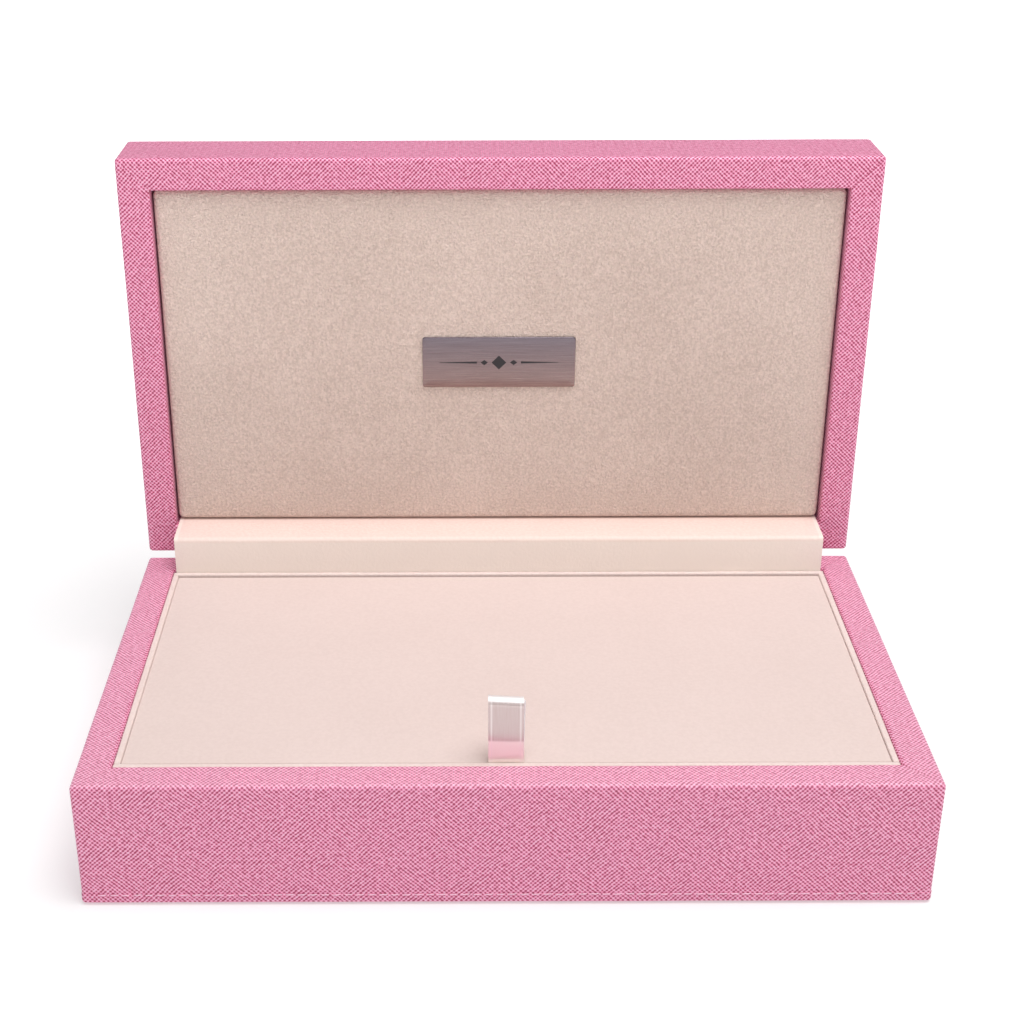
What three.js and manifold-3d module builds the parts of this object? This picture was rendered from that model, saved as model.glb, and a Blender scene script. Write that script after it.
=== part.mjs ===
// Leatherette jewellery presentation box, standing open, in millimetres with +Z up.
//
// Origin: centre of the base's footprint, on its underside. +X runs along the long side,
// +Y towards the hinges. Base and lid are the same kind of tray: an end board and four
// wall boards inside a leatherette wrap. Each tray is made in its own frame, with the
// middle of its rim at the origin and its body below, and the lid is such a tray given
// half a turn about a line through the hinge, which stands it up at the back of the base.

import * as THREE from 'three';
import { mergeVertices } from 'three/addons/utils/BufferGeometryUtils.js';
import { RoundedBoxGeometry } from 'three/addons/geometries/RoundedBoxGeometry.js';
import Module from 'manifold-3d';

const wasm = await Module();
wasm.setup();

// Overall sizes
const BOX_WIDTH = 240;
const BOX_DEPTH = 137;
const BASE_HEIGHT = 40;
const LID_HEIGHT = 23.5;

// Glue line left between two pieces that are stuck together or butt against each other
const GLUE = 0.1;

// Trays
const RIM_WIDTH = 10.2;
const WRAP_THICKNESS = 0.8;
const WRAP_EDGE_RADIUS = 1.3;
const WRAP_TURN_IN = 14;
const END_BOARD_THICKNESS = 3;
const UNDERSIDE_SHEET_THICKNESS = 0.5;
const UNDERSIDE_SHEET_INSET = 4;

// Lining of the base
const LINER_THICKNESS = 1.8;
const LINER_DROP = 0.4;
const FLOOR_THICKNESS = 1.5;
const LEDGE_THICKNESS = 2.4;

// Lift-out pad of the base
const PAD_THICKNESS = 10;
const PAD_DROP = 0.8;
const PAD_SIDE_CLEARANCE = 0.3;
const PAD_END_CLEARANCE = 1;
const PAD_SKIN = 0.8;
const PAD_BOARD_THICKNESS = 2.4;
const PAD_EDGE_RADIUS = 0.7;

// Pull ribbon of the pad
const RIBBON_WIDTH = 10.8;
const RIBBON_THICKNESS = 0.3;
const RIBBON_RISE = 20.8;
const RIBBON_FOLD_RADIUS = 2.2;
const RIBBON_CLEARANCE = 0.15;

// Padded panel of the lid
const PANEL_RECESS = 2;
const PANEL_THICKNESS = 8.5;
const PANEL_CLEARANCE = 0.4;
const PANEL_SKIN = 1;
const PANEL_BOARD_THICKNESS = 2.4;
const PANEL_EDGE_RADIUS = 1.4;
const INSERT_TURN_IN = 12;
const BATTEN_WIDTH = 8;
const BATTEN_INSET = 6;

// Plate on the panel
const PLATE_WIDTH = 50;
const PLATE_HEIGHT = 17.4;
const PLATE_THICKNESS = 0.9;
const PLATE_BEVEL = 0.25;
const PLATE_CORNER_RADIUS = 0.5;

// Velvet strip that bridges base and lid in front of the hinges
const STRIP_THICKNESS = 0.8;
const STRIP_END_CLEARANCE = 0.9;
const STRIP_FOLD_RADIUS = 1.1;
const STRIP_DEPTH_IN_BASE = 16;
const STRIP_LAP_UNDER_PANEL = 5;

// Stop hinges
const RIM_GAP = 0.6;
const HINGE_SETBACK = 0.8;
const HINGE_OFFSET = 62;
const HINGE_LENGTH = 45;
const LEAF_WIDTH = 7.2;
const KNUCKLE_COUNT = 5;
const KNUCKLE_RADIUS = 1.3;
const KNUCKLE_GAP = 0.4;
const PIN_RADIUS = 0.6;
const PIN_CLEARANCE = 0.15;
const STOP_LENGTH = 4.5;
const STOP_GAP = 0.3;
const TURNING_GAP = 0.3;
const MORTISE_GAP = 0.3;

// Hinge screws
const SCREW_OFFSETS = [-13.5, 13.5];
const SCREW_HEAD_RADIUS = 1.6;
const SCREW_HEAD_HEIGHT = 0.7;
const SCREW_HEAD_DROP = 0.05;
const SCREW_RADIUS = 0.7;
const SCREW_LENGTH = 7;
const SCREW_TIP = 1.2;
const SCREW_SLOT_WIDTH = 0.4;
const SCREW_SLOT_DEPTH = 0.25;
const SCREW_CLEARANCE = 0.12;

// Fineness of round shapes
const EDGE_SEGMENTS = 2;
const ROUND_SEGMENTS = 24;
const FOLD_SEGMENTS = 5;

// Sizes that follow from the ones above, in a tray's frame
const HALF_WIDTH = BOX_WIDTH / 2;
const HALF_DEPTH = BOX_DEPTH / 2;
const SKIN_AND_GLUE = WRAP_THICKNESS + GLUE;
const INNER_HALF_WIDTH = HALF_WIDTH - RIM_WIDTH;
const INNER_HALF_DEPTH = HALF_DEPTH - RIM_WIDTH;
const WALL_THICKNESS = RIM_WIDTH - 2 * SKIN_AND_GLUE;
const BASE_TRAY_HEIGHT = BASE_HEIGHT - UNDERSIDE_SHEET_THICKNESS - GLUE;
// A hinge leaf is let into the wrap, so it is as thick as the wrap and flush with the rim
const LEAF_THICKNESS = WRAP_THICKNESS;
const AXIS_Y = HALF_DEPTH + HINGE_SETBACK;
const AXIS_Z = RIM_GAP / 2;
const STRIP_BACK_Y = INNER_HALF_DEPTH - GLUE;
const STRIP_FRONT_Y = STRIP_BACK_Y - STRIP_THICKNESS;
const LINER_BACK_Y = STRIP_FRONT_Y - GLUE;
const LINED_HALF_WIDTH = INNER_HALF_WIDTH - GLUE - LINER_THICKNESS;
const LINED_FRONT_Y = -INNER_HALF_DEPTH + GLUE + LINER_THICKNESS;
const LINED_BACK_Y = LINER_BACK_Y - LINER_THICKNESS;

const finish = (color, roughness, metalness = 0) =>
  new THREE.MeshStandardMaterial({ color, roughness, metalness });
const LEATHERETTE = finish(0xe884b0, 0.45);
const VELVET = finish(0xf6ddd6, 0.95);
const SUEDE = finish(0xd9b9ae, 0.9);
const SATIN = finish(0xf3e4e6, 0.3);
const BOARD = finish(0xa88c6c, 0.85);
const FOAM = finish(0xf4f0e4, 0.95);
const STEEL = finish(0xb8b8ba, 0.35, 0.9);
const PAPER = finish(0xd9799f, 0.8);

/** A closed three.js geometry as a solid that can be joined and cut. */
function toSolid(geometry) {
  const bare = geometry.clone();
  bare.deleteAttribute('normal');
  bare.deleteAttribute('uv');
  const merged = mergeVertices(bare);
  return new wasm.Manifold(new wasm.Mesh({
    numProp: 3,
    vertProperties: Float32Array.from(merged.attributes.position.array),
    triVerts: Uint32Array.from(merged.index.array),
  }));
}

/** The solid as a three.js geometry. */
function toGeometry(solid) {
  const { vertProperties, triVerts } = solid.getMesh();
  const geometry = new THREE.BufferGeometry();
  geometry.setAttribute('position', new THREE.BufferAttribute(vertProperties, 3));
  geometry.setIndex(new THREE.BufferAttribute(triVerts, 1));
  geometry.computeVertexNormals();
  return geometry;
}

/** Moves the geometry to the middle of a span given by its limits along X, Y and Z. */
function toSpan(geometry, [x0, x1], [y0, y1], [z0, z1]) {
  return geometry.translate((x0 + x1) / 2, (y0 + y1) / 2, (z0 + z1) / 2);
}

function block(xs, ys, zs) {
  const size = [xs, ys, zs].map(([low, high]) => high - low);
  return toSpan(new THREE.BoxGeometry(...size), xs, ys, zs);
}

function roundedBlock(xs, ys, zs, radius) {
  const size = [xs, ys, zs].map(([low, high]) => high - low);
  return toSpan(new RoundedBoxGeometry(...size, EDGE_SEGMENTS, radius), xs, ys, zs);
}

function piece(name, geometry, material) {
  const mesh = new THREE.Mesh(geometry, material.clone());
  mesh.name = name;
  return mesh;
}

/** Turns a geometry drawn in a sideways outline, extruded along its Z, to run along X. */
function alongX(geometry) {
  const turn = new THREE.Matrix4().makeBasis(
    new THREE.Vector3(0, 1, 0), new THREE.Vector3(0, 0, 1), new THREE.Vector3(1, 0, 0));
  return geometry.applyMatrix4(turn);
}

/** An outline in the YZ plane, extruded to the given width about the middle plane. */
function extrudeAlongX(shape, width) {
  const geometry = new THREE.ExtrudeGeometry(shape, {
    depth: width, bevelEnabled: false, curveSegments: FOLD_SEGMENTS,
  });
  return alongX(geometry.translate(0, 0, -width / 2));
}

/** A bar round the X axis. */
function barAlongX(radius, [x0, x1]) {
  const bar = new THREE.CylinderGeometry(radius, radius, x1 - x0, ROUND_SEGMENTS);
  return bar.rotateZ(Math.PI / 2).translate((x0 + x1) / 2, 0, 0);
}

/** Four boards round a rectangle: front and back full length, left and right between. */
function boardRing(name, halfWidth, [y0, y1], thickness, zs, material) {
  const full = [-halfWidth, halfWidth];
  const between = [y0 + thickness + GLUE, y1 - thickness - GLUE];
  return [
    piece(`${name}_front`, block(full, [y0, y0 + thickness], zs), material),
    piece(`${name}_back`, block(full, [y1 - thickness, y1], zs), material),
    piece(`${name}_left`, block([-halfWidth, thickness - halfWidth], between, zs), material),
    piece(`${name}_right`, block([halfWidth - thickness, halfWidth], between, zs), material),
  ];
}

/** The leatherette of a tray: outside, rim and a turned-in skin down the inside. */
function wrapSolid(height, endIsOpen) {
  const xs = [-HALF_WIDTH, HALF_WIDTH];
  const ys = [-HALF_DEPTH, HALF_DEPTH];
  const shrink = ([low, high], by) => [low + by, high - by];
  const boards = block(shrink(xs, WRAP_THICKNESS), shrink(ys, WRAP_THICKNESS),
    [WRAP_THICKNESS - height, -WRAP_THICKNESS]);
  const turned = block(shrink(xs, RIM_WIDTH - WRAP_THICKNESS),
    shrink(ys, RIM_WIDTH - WRAP_THICKNESS), [-WRAP_TURN_IN, -WRAP_THICKNESS / 2]);
  const mouth = block(shrink(xs, RIM_WIDTH), shrink(ys, RIM_WIDTH), [-WRAP_TURN_IN - 1, 1]);
  let wrap = toSolid(roundedBlock(xs, ys, [-height, 0], WRAP_EDGE_RADIUS))
    .subtract(toSolid(boards))
    .add(toSolid(turned))
    .subtract(toSolid(mouth));
  if (endIsOpen) {
    const window = block(shrink(xs, RIM_WIDTH), shrink(ys, RIM_WIDTH),
      [-height - 1, WRAP_THICKNESS - height + 1]);
    wrap = wrap.subtract(toSolid(window));
  }
  for (const side of [-1, 1]) wrap = wrap.subtract(toSolid(mortise(side)));
  return wrap;
}

/** The opening in a tray's wrap that takes one hinge, on the side given as -1 or 1. */
function mortise(side) {
  const half = HINGE_LENGTH / 2 + MORTISE_GAP;
  const middle = side * HINGE_OFFSET;
  const front = AXIS_Y - KNUCKLE_RADIUS - TURNING_GAP - LEAF_WIDTH - MORTISE_GAP;
  return block([middle - half, middle + half], [front, HALF_DEPTH + 1], [-SKIN_AND_GLUE, 1]);
}

/** End board, four wall boards and wrap of one tray, in the tray's frame. */
function trayShell(name, endBoardName, height, endIsOpen) {
  const halfWidth = HALF_WIDTH - SKIN_AND_GLUE;
  const halfDepth = HALF_DEPTH - SKIN_AND_GLUE;
  const endBottom = SKIN_AND_GLUE - height;
  const endTop = endBottom + END_BOARD_THICKNESS;
  const endBoard = block([-halfWidth, halfWidth], [-halfDepth, halfDepth], [endBottom, endTop]);
  const walls = boardRing(`${name}_wall`, halfWidth, [-halfDepth, halfDepth],
    WALL_THICKNESS, [endTop + GLUE, -SKIN_AND_GLUE], BOARD);
  const back = walls[1];
  let drilled = toSolid(back.geometry);
  for (const place of screwPlaces()) {
    drilled = drilled.subtract(toSolid(screwForm(SCREW_CLEARANCE).translate(...place)));
  }
  back.geometry = toGeometry(drilled);
  const wrap = piece(`${name}_wrap`, toGeometry(wrapSolid(height, endIsOpen)), LEATHERETTE);
  return [piece(endBoardName, endBoard, BOARD), ...walls, wrap];
}

/** Board and foam in a fabric skin that is turned in behind, its face at height top. */
function paddedInsert(name, halfWidth, [y0, y1], top, thickness, skin, build) {
  const { boardThickness, radius, material } = build;
  const bottom = top - thickness;
  const inside = (by) => [[by - halfWidth, halfWidth - by], [y0 + by, y1 - by]];
  const cover = toSolid(roundedBlock(...inside(0), [bottom, top], radius))
    .subtract(toSolid(block(...inside(skin), [bottom + skin, top - skin])))
    .subtract(toSolid(block(...inside(INSERT_TURN_IN), [bottom - 1, bottom + skin + 1])));
  const filling = inside(skin + GLUE);
  const boardBottom = bottom + skin + GLUE;
  const boardTop = boardBottom + boardThickness;
  return [
    piece(`${name}_cover`, toGeometry(cover), material),
    piece(`${name}_board`, block(...filling, [boardBottom, boardTop]), BOARD),
    piece(`${name}_foam`, block(...filling, [boardTop + GLUE, top - skin - GLUE]), FOAM),
  ];
}

/** Centres of a tray's hinge screws at the rim. */
function screwPlaces() {
  const y = AXIS_Y - KNUCKLE_RADIUS - TURNING_GAP - LEAF_WIDTH / 2;
  const xs = [-HINGE_OFFSET, HINGE_OFFSET].flatMap((middle) =>
    SCREW_OFFSETS.map((offset) => middle + offset));
  return xs.map((x) => [x, y, -SCREW_HEAD_DROP]);
}

/** A countersunk screw, head up at the origin, grown all round by a clearance. */
function screwForm(clearance = 0) {
  const neck = -SCREW_HEAD_HEIGHT - clearance;
  const top = clearance > 0 ? SCREW_HEAD_DROP + clearance : 0;
  const profile = [
    [0, -SCREW_LENGTH - clearance],
    [SCREW_RADIUS + clearance, -SCREW_LENGTH + SCREW_TIP],
    [SCREW_RADIUS + clearance, neck],
    [SCREW_HEAD_RADIUS + clearance, 0],
    [SCREW_HEAD_RADIUS + clearance, top],
    [0, top],
  ].filter(([radius, z], at, all) => at === 0 || z !== all[at - 1][1] || radius !== all[at - 1][0]);
  const points = profile.map(([radius, z]) => new THREE.Vector2(radius, z));
  return new THREE.LatheGeometry(points, ROUND_SEGMENTS).rotateX(Math.PI / 2);
}

function screw(name, place) {
  const slot = block([-SCREW_HEAD_RADIUS - 1, SCREW_HEAD_RADIUS + 1],
    [-SCREW_SLOT_WIDTH / 2, SCREW_SLOT_WIDTH / 2], [-SCREW_SLOT_DEPTH, 1]);
  const solid = toSolid(screwForm()).subtract(toSolid(slot));
  const mesh = piece(name, toGeometry(solid), STEEL);
  mesh.position.set(...place);
  return mesh;
}

/** Limits along X of one knuckle of a hinge whose middle is at zero. */
function knuckleSpan(index) {
  const pitch = HINGE_LENGTH / KNUCKLE_COUNT;
  const start = -HINGE_LENGTH / 2 + index * pitch;
  return [start + KNUCKLE_GAP / 2, start + pitch - KNUCKLE_GAP / 2];
}

/** A strip of the stop flange, which leans out 45 degrees below the pin. */
function stopFlange(xs, from) {
  const flange = block(xs, [from, STOP_LENGTH], [-STOP_GAP / 2 - LEAF_THICKNESS, -STOP_GAP / 2]);
  return flange.rotateX(-Math.PI / 4);
}

/** One leaf of a stop hinge, with the pin's axis as its X axis and the plate in front. */
function hingeLeaf(knuckles) {
  const reach = KNUCKLE_RADIUS + TURNING_GAP;
  const full = [knuckleSpan(0)[0], knuckleSpan(KNUCKLE_COUNT - 1)[1]];
  const plateZ = [-AXIS_Z - LEAF_THICKNESS, -AXIS_Z];
  let leaf = toSolid(block(full, [-reach - LEAF_WIDTH, -reach], plateZ));
  for (const index of knuckles) {
    const span = knuckleSpan(index);
    leaf = leaf
      .add(toSolid(block(span, [-reach - 1, 0], plateZ)))
      .add(toSolid(barAlongX(KNUCKLE_RADIUS, span)))
      .add(toSolid(stopFlange(span, 0)));
  }
  return leaf
    .add(toSolid(stopFlange(full, reach)))
    .subtract(toSolid(barAlongX(PIN_RADIUS + PIN_CLEARANCE, [full[0] - 1, full[1] + 1])));
}

/** The two leaves and four screws of a tray's hinges, in the tray's frame. */
function hingeHalf(trayName, knuckles) {
  const sides = [['left', -HINGE_OFFSET], ['right', HINGE_OFFSET]];
  const leaves = sides.map(([side, middle]) => {
    let leaf = hingeLeaf(knuckles);
    for (const [x, y, z] of screwPlaces().filter(([x]) => x * middle > 0)) {
      const form = screwForm(SCREW_CLEARANCE).translate(x - middle, y - AXIS_Y, z - AXIS_Z);
      leaf = leaf.subtract(toSolid(form));
    }
    const mesh = piece(`${trayName}_hinge_leaf_${side}`, toGeometry(leaf), STEEL);
    mesh.position.set(middle, AXIS_Y, AXIS_Z);
    return mesh;
  });
  const screws = screwPlaces().map((place, index) =>
    screw(`${trayName}_hinge_screw_${index + 1}`, place));
  return [...leaves, ...screws];
}

function hingePins() {
  const half = HINGE_LENGTH / 2;
  return [['left', -HINGE_OFFSET], ['right', HINGE_OFFSET]].map(([side, middle]) => {
    const pin = piece(`hinge_pin_${side}`, barAlongX(PIN_RADIUS, [-half, half]), STEEL);
    pin.position.set(middle, AXIS_Y, AXIS_Z);
    return pin;
  });
}

/** Liners, ledges and floor of the base. */
function baseLining() {
  const boardTop = SKIN_AND_GLUE + END_BOARD_THICKNESS - BASE_TRAY_HEIGHT;
  const floorZ = [boardTop + GLUE, boardTop + GLUE + FLOOR_THICKNESS];
  const sides = INNER_HALF_WIDTH - GLUE;
  const front = -INNER_HALF_DEPTH + GLUE;
  const padBottom = -PAD_DROP - PAD_THICKNESS;
  return [
    piece('compartment_floor', block([-sides, sides], [front, LINER_BACK_Y], floorZ), VELVET),
    ...boardRing('liner', sides, [front, LINER_BACK_Y], LINER_THICKNESS,
      [floorZ[1] + GLUE, -LINER_DROP], VELVET),
    ...boardRing('ledge', LINED_HALF_WIDTH - GLUE, [LINED_FRONT_Y + GLUE, LINED_BACK_Y - GLUE],
      LEDGE_THICKNESS, [floorZ[1] + GLUE, padBottom - GLUE], VELVET),
  ];
}

/** Satin ribbon doubled over in a loop, its ends side by side down the pad's front. */
function pullRibbon() {
  const doubled = 2 * RIBBON_THICKNESS;
  const bottom = -PAD_DROP - PAD_THICKNESS;
  const foldZ = -PAD_DROP + RIBBON_RISE - RIBBON_FOLD_RADIUS;
  const front = LINED_FRONT_Y + RIBBON_CLEARANCE;
  const outline = new THREE.Shape();
  outline.moveTo(front, bottom);
  outline.lineTo(front + doubled, bottom);
  outline.lineTo(front + doubled, -PAD_DROP);
  outline.absarc(front + RIBBON_FOLD_RADIUS, foldZ, RIBBON_FOLD_RADIUS, 0, Math.PI, false);
  outline.closePath();
  const inner = RIBBON_FOLD_RADIUS - RIBBON_THICKNESS;
  const loop = new THREE.Path();
  loop.absarc(front + RIBBON_FOLD_RADIUS, foldZ, inner, Math.PI, 0, true);
  loop.lineTo(front + RIBBON_THICKNESS, -PAD_DROP + RIBBON_FOLD_RADIUS);
  loop.closePath();
  outline.holes.push(loop);
  return piece('pull_ribbon', extrudeAlongX(outline, RIBBON_WIDTH), SATIN);
}

/** The lift-out pad of the base with its ribbon. */
function liftOutPad() {
  const ys = [LINED_FRONT_Y + PAD_END_CLEARANCE, LINED_BACK_Y - PAD_END_CLEARANCE];
  const build = {
    boardThickness: PAD_BOARD_THICKNESS, radius: PAD_EDGE_RADIUS, material: VELVET,
  };
  const insert = paddedInsert('pad', LINED_HALF_WIDTH - PAD_SIDE_CLEARANCE, ys,
    -PAD_DROP, PAD_THICKNESS, PAD_SKIN, build);
  return [...insert, pullRibbon()];
}

/** Steel plate with a bevelled face, centred on a face at height z. */
function plate(middleY, z) {
  const x = PLATE_WIDTH / 2 - PLATE_BEVEL - PLATE_CORNER_RADIUS;
  const y = PLATE_HEIGHT / 2 - PLATE_BEVEL - PLATE_CORNER_RADIUS;
  const quarter = Math.PI / 2;
  const outline = new THREE.Shape();
  [[x, y], [-x, y], [-x, -y], [x, -y]].forEach(([cx, cy], corner) => {
    const start = corner * quarter;
    outline.absarc(cx, cy, PLATE_CORNER_RADIUS, start, start + quarter, false);
  });
  const geometry = new THREE.ExtrudeGeometry(outline, {
    depth: PLATE_THICKNESS - 2 * PLATE_BEVEL, bevelThickness: PLATE_BEVEL,
    bevelSize: PLATE_BEVEL, bevelSegments: 1, curveSegments: 2,
  });
  return piece('name_plate', geometry.translate(0, middleY, z + PLATE_BEVEL), STEEL);
}

/** Padded panel of the lid, the battens behind it and the plate on it. */
function lidLining() {
  const sides = INNER_HALF_WIDTH - PANEL_CLEARANCE;
  const ys = [-INNER_HALF_DEPTH + PANEL_CLEARANCE, STRIP_FRONT_Y - PANEL_CLEARANCE / 2];
  const build = {
    boardThickness: PANEL_BOARD_THICKNESS, radius: PANEL_EDGE_RADIUS, material: SUEDE,
  };
  const boardTop = SKIN_AND_GLUE + END_BOARD_THICKNESS - LID_HEIGHT;
  const panelBottom = -PANEL_RECESS - PANEL_THICKNESS;
  return [
    ...paddedInsert('panel', sides, ys, -PANEL_RECESS, PANEL_THICKNESS, PANEL_SKIN, build),
    ...boardRing('panel_batten', sides - BATTEN_INSET,
      [ys[0] + BATTEN_INSET, ys[1] - BATTEN_INSET], BATTEN_WIDTH,
      [boardTop + GLUE, panelBottom - GLUE], BOARD),
    plate((ys[0] + ys[1]) / 2, -PANEL_RECESS + GLUE),
  ];
}

/** Velvet strip: up the base's back wall, over a soft fold, and along the open lid's. */
function hingeStrip() {
  const top = AXIS_Z + (AXIS_Y - STRIP_FRONT_Y);
  const under = top - STRIP_THICKNESS;
  const end = AXIS_Y + AXIS_Z + PANEL_RECESS + STRIP_LAP_UNDER_PANEL;
  const inner = STRIP_FOLD_RADIUS - STRIP_THICKNESS;
  const foldY = STRIP_FRONT_Y + STRIP_FOLD_RADIUS;
  const foldZ = top - STRIP_FOLD_RADIUS;
  const outline = new THREE.Shape();
  outline.moveTo(STRIP_FRONT_Y, -STRIP_DEPTH_IN_BASE);
  outline.lineTo(STRIP_BACK_Y, -STRIP_DEPTH_IN_BASE);
  outline.absarc(foldY, foldZ, inner, Math.PI, Math.PI / 2, true);
  outline.lineTo(end, under);
  outline.lineTo(end, top);
  outline.absarc(foldY, foldZ, STRIP_FOLD_RADIUS, Math.PI / 2, Math.PI, false);
  outline.closePath();
  const width = 2 * (INNER_HALF_WIDTH - STRIP_END_CLEARANCE);
  return piece('hinge_strip', extrudeAlongX(outline, width), VELVET);
}

/** Covering sheet glued over the turned-in leatherette under the base. */
function undersideSheet() {
  const x = HALF_WIDTH - UNDERSIDE_SHEET_INSET;
  const y = HALF_DEPTH - UNDERSIDE_SHEET_INSET;
  const zs = [-BASE_HEIGHT, UNDERSIDE_SHEET_THICKNESS - BASE_HEIGHT];
  return piece('underside_sheet', block([-x, x], [-y, y], zs), PAPER);
}

const evenKnuckles = [...Array(KNUCKLE_COUNT).keys()].filter((index) => index % 2 === 0);
const oddKnuckles = [...Array(KNUCKLE_COUNT).keys()].filter((index) => index % 2 === 1);

const base = new THREE.Group();
base.add(
  ...trayShell('base', 'base_bottom_board', BASE_TRAY_HEIGHT, true),
  ...baseLining(),
  ...liftOutPad(),
  ...hingeHalf('base', evenKnuckles),
  ...hingePins(),
  hingeStrip(),
  undersideSheet(),
);
base.position.z = BASE_HEIGHT;

const lidTray = new THREE.Group();
lidTray.add(
  ...trayShell('lid', 'lid_top_board', LID_HEIGHT, false),
  ...lidLining(),
  ...hingeHalf('lid', oddKnuckles),
);
lidTray.position.set(0, -AXIS_Y, -AXIS_Z);

const lid = new THREE.Group();
lid.add(lidTray);
lid.position.set(0, AXIS_Y, BASE_HEIGHT + AXIS_Z);
lid.quaternion.setFromAxisAngle(new THREE.Vector3(0, 1, -1).normalize(), Math.PI);

const group = new THREE.Group();
group.add(base, lid);

export default group;
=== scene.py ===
"""A leatherette jewellery box standing open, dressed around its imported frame.

Each sub-assembly is a class that holds its sizes and builds its own pieces: the two
leatherette wraps, the card lining, the lift-out pad with its ribbon, the suede panel with
its plate, the strip that bridges the hinges, and the hinges themselves. Each finish is a
small frozen class that makes one material. All lengths are in metres.
"""

import logging
import math
from dataclasses import dataclass
from enum import Enum
from typing import Callable, Sequence

import bmesh
import bpy
from mathutils import Matrix, Vector, noise


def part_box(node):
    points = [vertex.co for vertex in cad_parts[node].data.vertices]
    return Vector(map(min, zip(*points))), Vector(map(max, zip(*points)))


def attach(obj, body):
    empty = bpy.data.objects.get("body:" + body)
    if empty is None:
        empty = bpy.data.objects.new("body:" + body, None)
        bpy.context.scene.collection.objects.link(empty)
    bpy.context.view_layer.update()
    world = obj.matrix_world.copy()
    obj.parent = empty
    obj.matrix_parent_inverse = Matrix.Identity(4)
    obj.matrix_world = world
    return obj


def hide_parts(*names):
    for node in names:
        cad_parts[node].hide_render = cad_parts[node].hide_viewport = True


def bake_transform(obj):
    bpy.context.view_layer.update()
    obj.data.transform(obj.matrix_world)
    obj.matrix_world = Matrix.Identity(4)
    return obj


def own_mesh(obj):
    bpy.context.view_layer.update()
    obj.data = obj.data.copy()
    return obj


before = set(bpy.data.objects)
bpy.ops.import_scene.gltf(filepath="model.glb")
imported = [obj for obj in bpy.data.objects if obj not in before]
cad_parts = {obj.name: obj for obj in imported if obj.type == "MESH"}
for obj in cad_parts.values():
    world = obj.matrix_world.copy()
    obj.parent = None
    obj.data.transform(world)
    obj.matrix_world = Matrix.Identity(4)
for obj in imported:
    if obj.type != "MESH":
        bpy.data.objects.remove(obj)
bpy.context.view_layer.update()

LOG = logging.getLogger("jewellery_box")
MM = 0.001
GRAIN_MAP = "grain"
RIM_WIDTH = 10.2 * MM

Colour = tuple[float, float, float]
Outline = list[tuple[float, float]]


class Side(Enum):
    """The four sides of a tray, in the order that a ring of points runs round it."""

    FRONT = 0
    RIGHT = 1
    BACK = 2
    LEFT = 3


class Pile(Enum):
    """Kinds of napped cloth in the lining."""

    VELVET = "velvet"
    SUEDE = "suede"


# --------------------------------------------------------------------------- mesh helpers


def fillet(corners: Sequence[tuple[float, float, float]], closed: bool, steps: int = 4,
           longest: float = 6 * MM) -> Outline:
    """Rounds the corners of an outline and divides its long straights.

    Args:
        corners: (x, y, radius) of each corner.
        closed: whether the last corner joins the first.
        steps: segments in each rounded corner.
        longest: the longest straight left undivided.

    Returns:
        The points of the outline.
    """
    rounded: list[Vector] = []
    count = len(corners)
    for index, (x, y, radius) in enumerate(corners):
        here = Vector((x, y))
        at_end = not closed and index in (0, count - 1)
        if at_end or radius <= 0:
            rounded.append(here)
            continue
        before = (Vector(corners[index - 1][:2]) - here).normalized()
        after = (Vector(corners[(index + 1) % count][:2]) - here).normalized()
        half = before.angle(after) / 2
        reach = radius / math.tan(half)
        centre = here + (before + after).normalized() * (radius / math.sin(half))
        start = here + before * reach - centre
        sweep = start.angle_signed(here + after * reach - centre)
        for step in range(steps + 1):
            turn = Matrix.Rotation(-sweep * step / steps, 2)
            rounded.append(centre + turn @ start)
    points: Outline = []
    ends = len(rounded) if closed else len(rounded) - 1
    for index in range(ends):
        here, there = rounded[index], rounded[(index + 1) % len(rounded)]
        parts = max(1, math.ceil((there - here).length / longest))
        points += [tuple(here.lerp(there, part / parts)) for part in range(parts)]
    if not closed:
        points.append(tuple(rounded[-1]))
    return points


def make_piece(name: str, built: bmesh.types.BMesh, crease: float = 40.0) -> bpy.types.Object:
    """Turns a finished bmesh into a smooth-shaded piece.

    Args:
        name: the piece's name.
        built: the geometry, which is used up.
        crease: angle in degrees above which an edge stays sharp.

    Returns:
        The new object, linked to the scene.
    """
    bmesh.ops.recalc_face_normals(built, faces=built.faces)
    mesh = bpy.data.meshes.new(name)
    built.to_mesh(mesh)
    built.free()
    mesh.shade_smooth()
    mesh.set_sharp_from_angle(angle=math.radians(crease))
    piece = bpy.data.objects.new(name, mesh)
    bpy.context.scene.collection.objects.link(piece)
    return piece


def settle(piece: bpy.types.Object) -> bpy.types.Object:
    """Writes the piece's modifiers into its mesh and removes them.

    Args:
        piece: the piece whose modifiers are written in.

    Returns:
        The same piece.
    """
    bpy.context.view_layer.update()
    depsgraph = bpy.context.evaluated_depsgraph_get()
    final = bpy.data.meshes.new_from_object(
        piece.evaluated_get(depsgraph), preserve_all_data_layers=True, depsgraph=depsgraph)
    final.name = piece.name
    piece.modifiers.clear()
    piece.data = final
    return piece


def subdivide(piece: bpy.types.Object) -> bpy.types.Object:
    """Smooths the piece with one level of subdivision.

    Args:
        piece: the piece to smooth.

    Returns:
        The same piece.
    """
    smoothing = piece.modifiers.new("smoothing", "SUBSURF")
    smoothing.levels = smoothing.render_levels = 1
    return settle(piece)


def undulate(built: bmesh.types.BMesh, amount: float, wavelength: float, seed: float) -> None:
    """Moves the surface in and out along its normals in slow waves.

    Args:
        built: the geometry to change.
        amount: the greatest movement.
        wavelength: the size of the waves.
        seed: picks one pattern of waves.
    """
    built.normal_update()
    shift = Vector((seed, 2.3 * seed, -1.7 * seed))
    for vert in built.verts:
        wave = noise.noise(vert.co / wavelength + shift)
        vert.co += vert.normal * (wave * amount)


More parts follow.
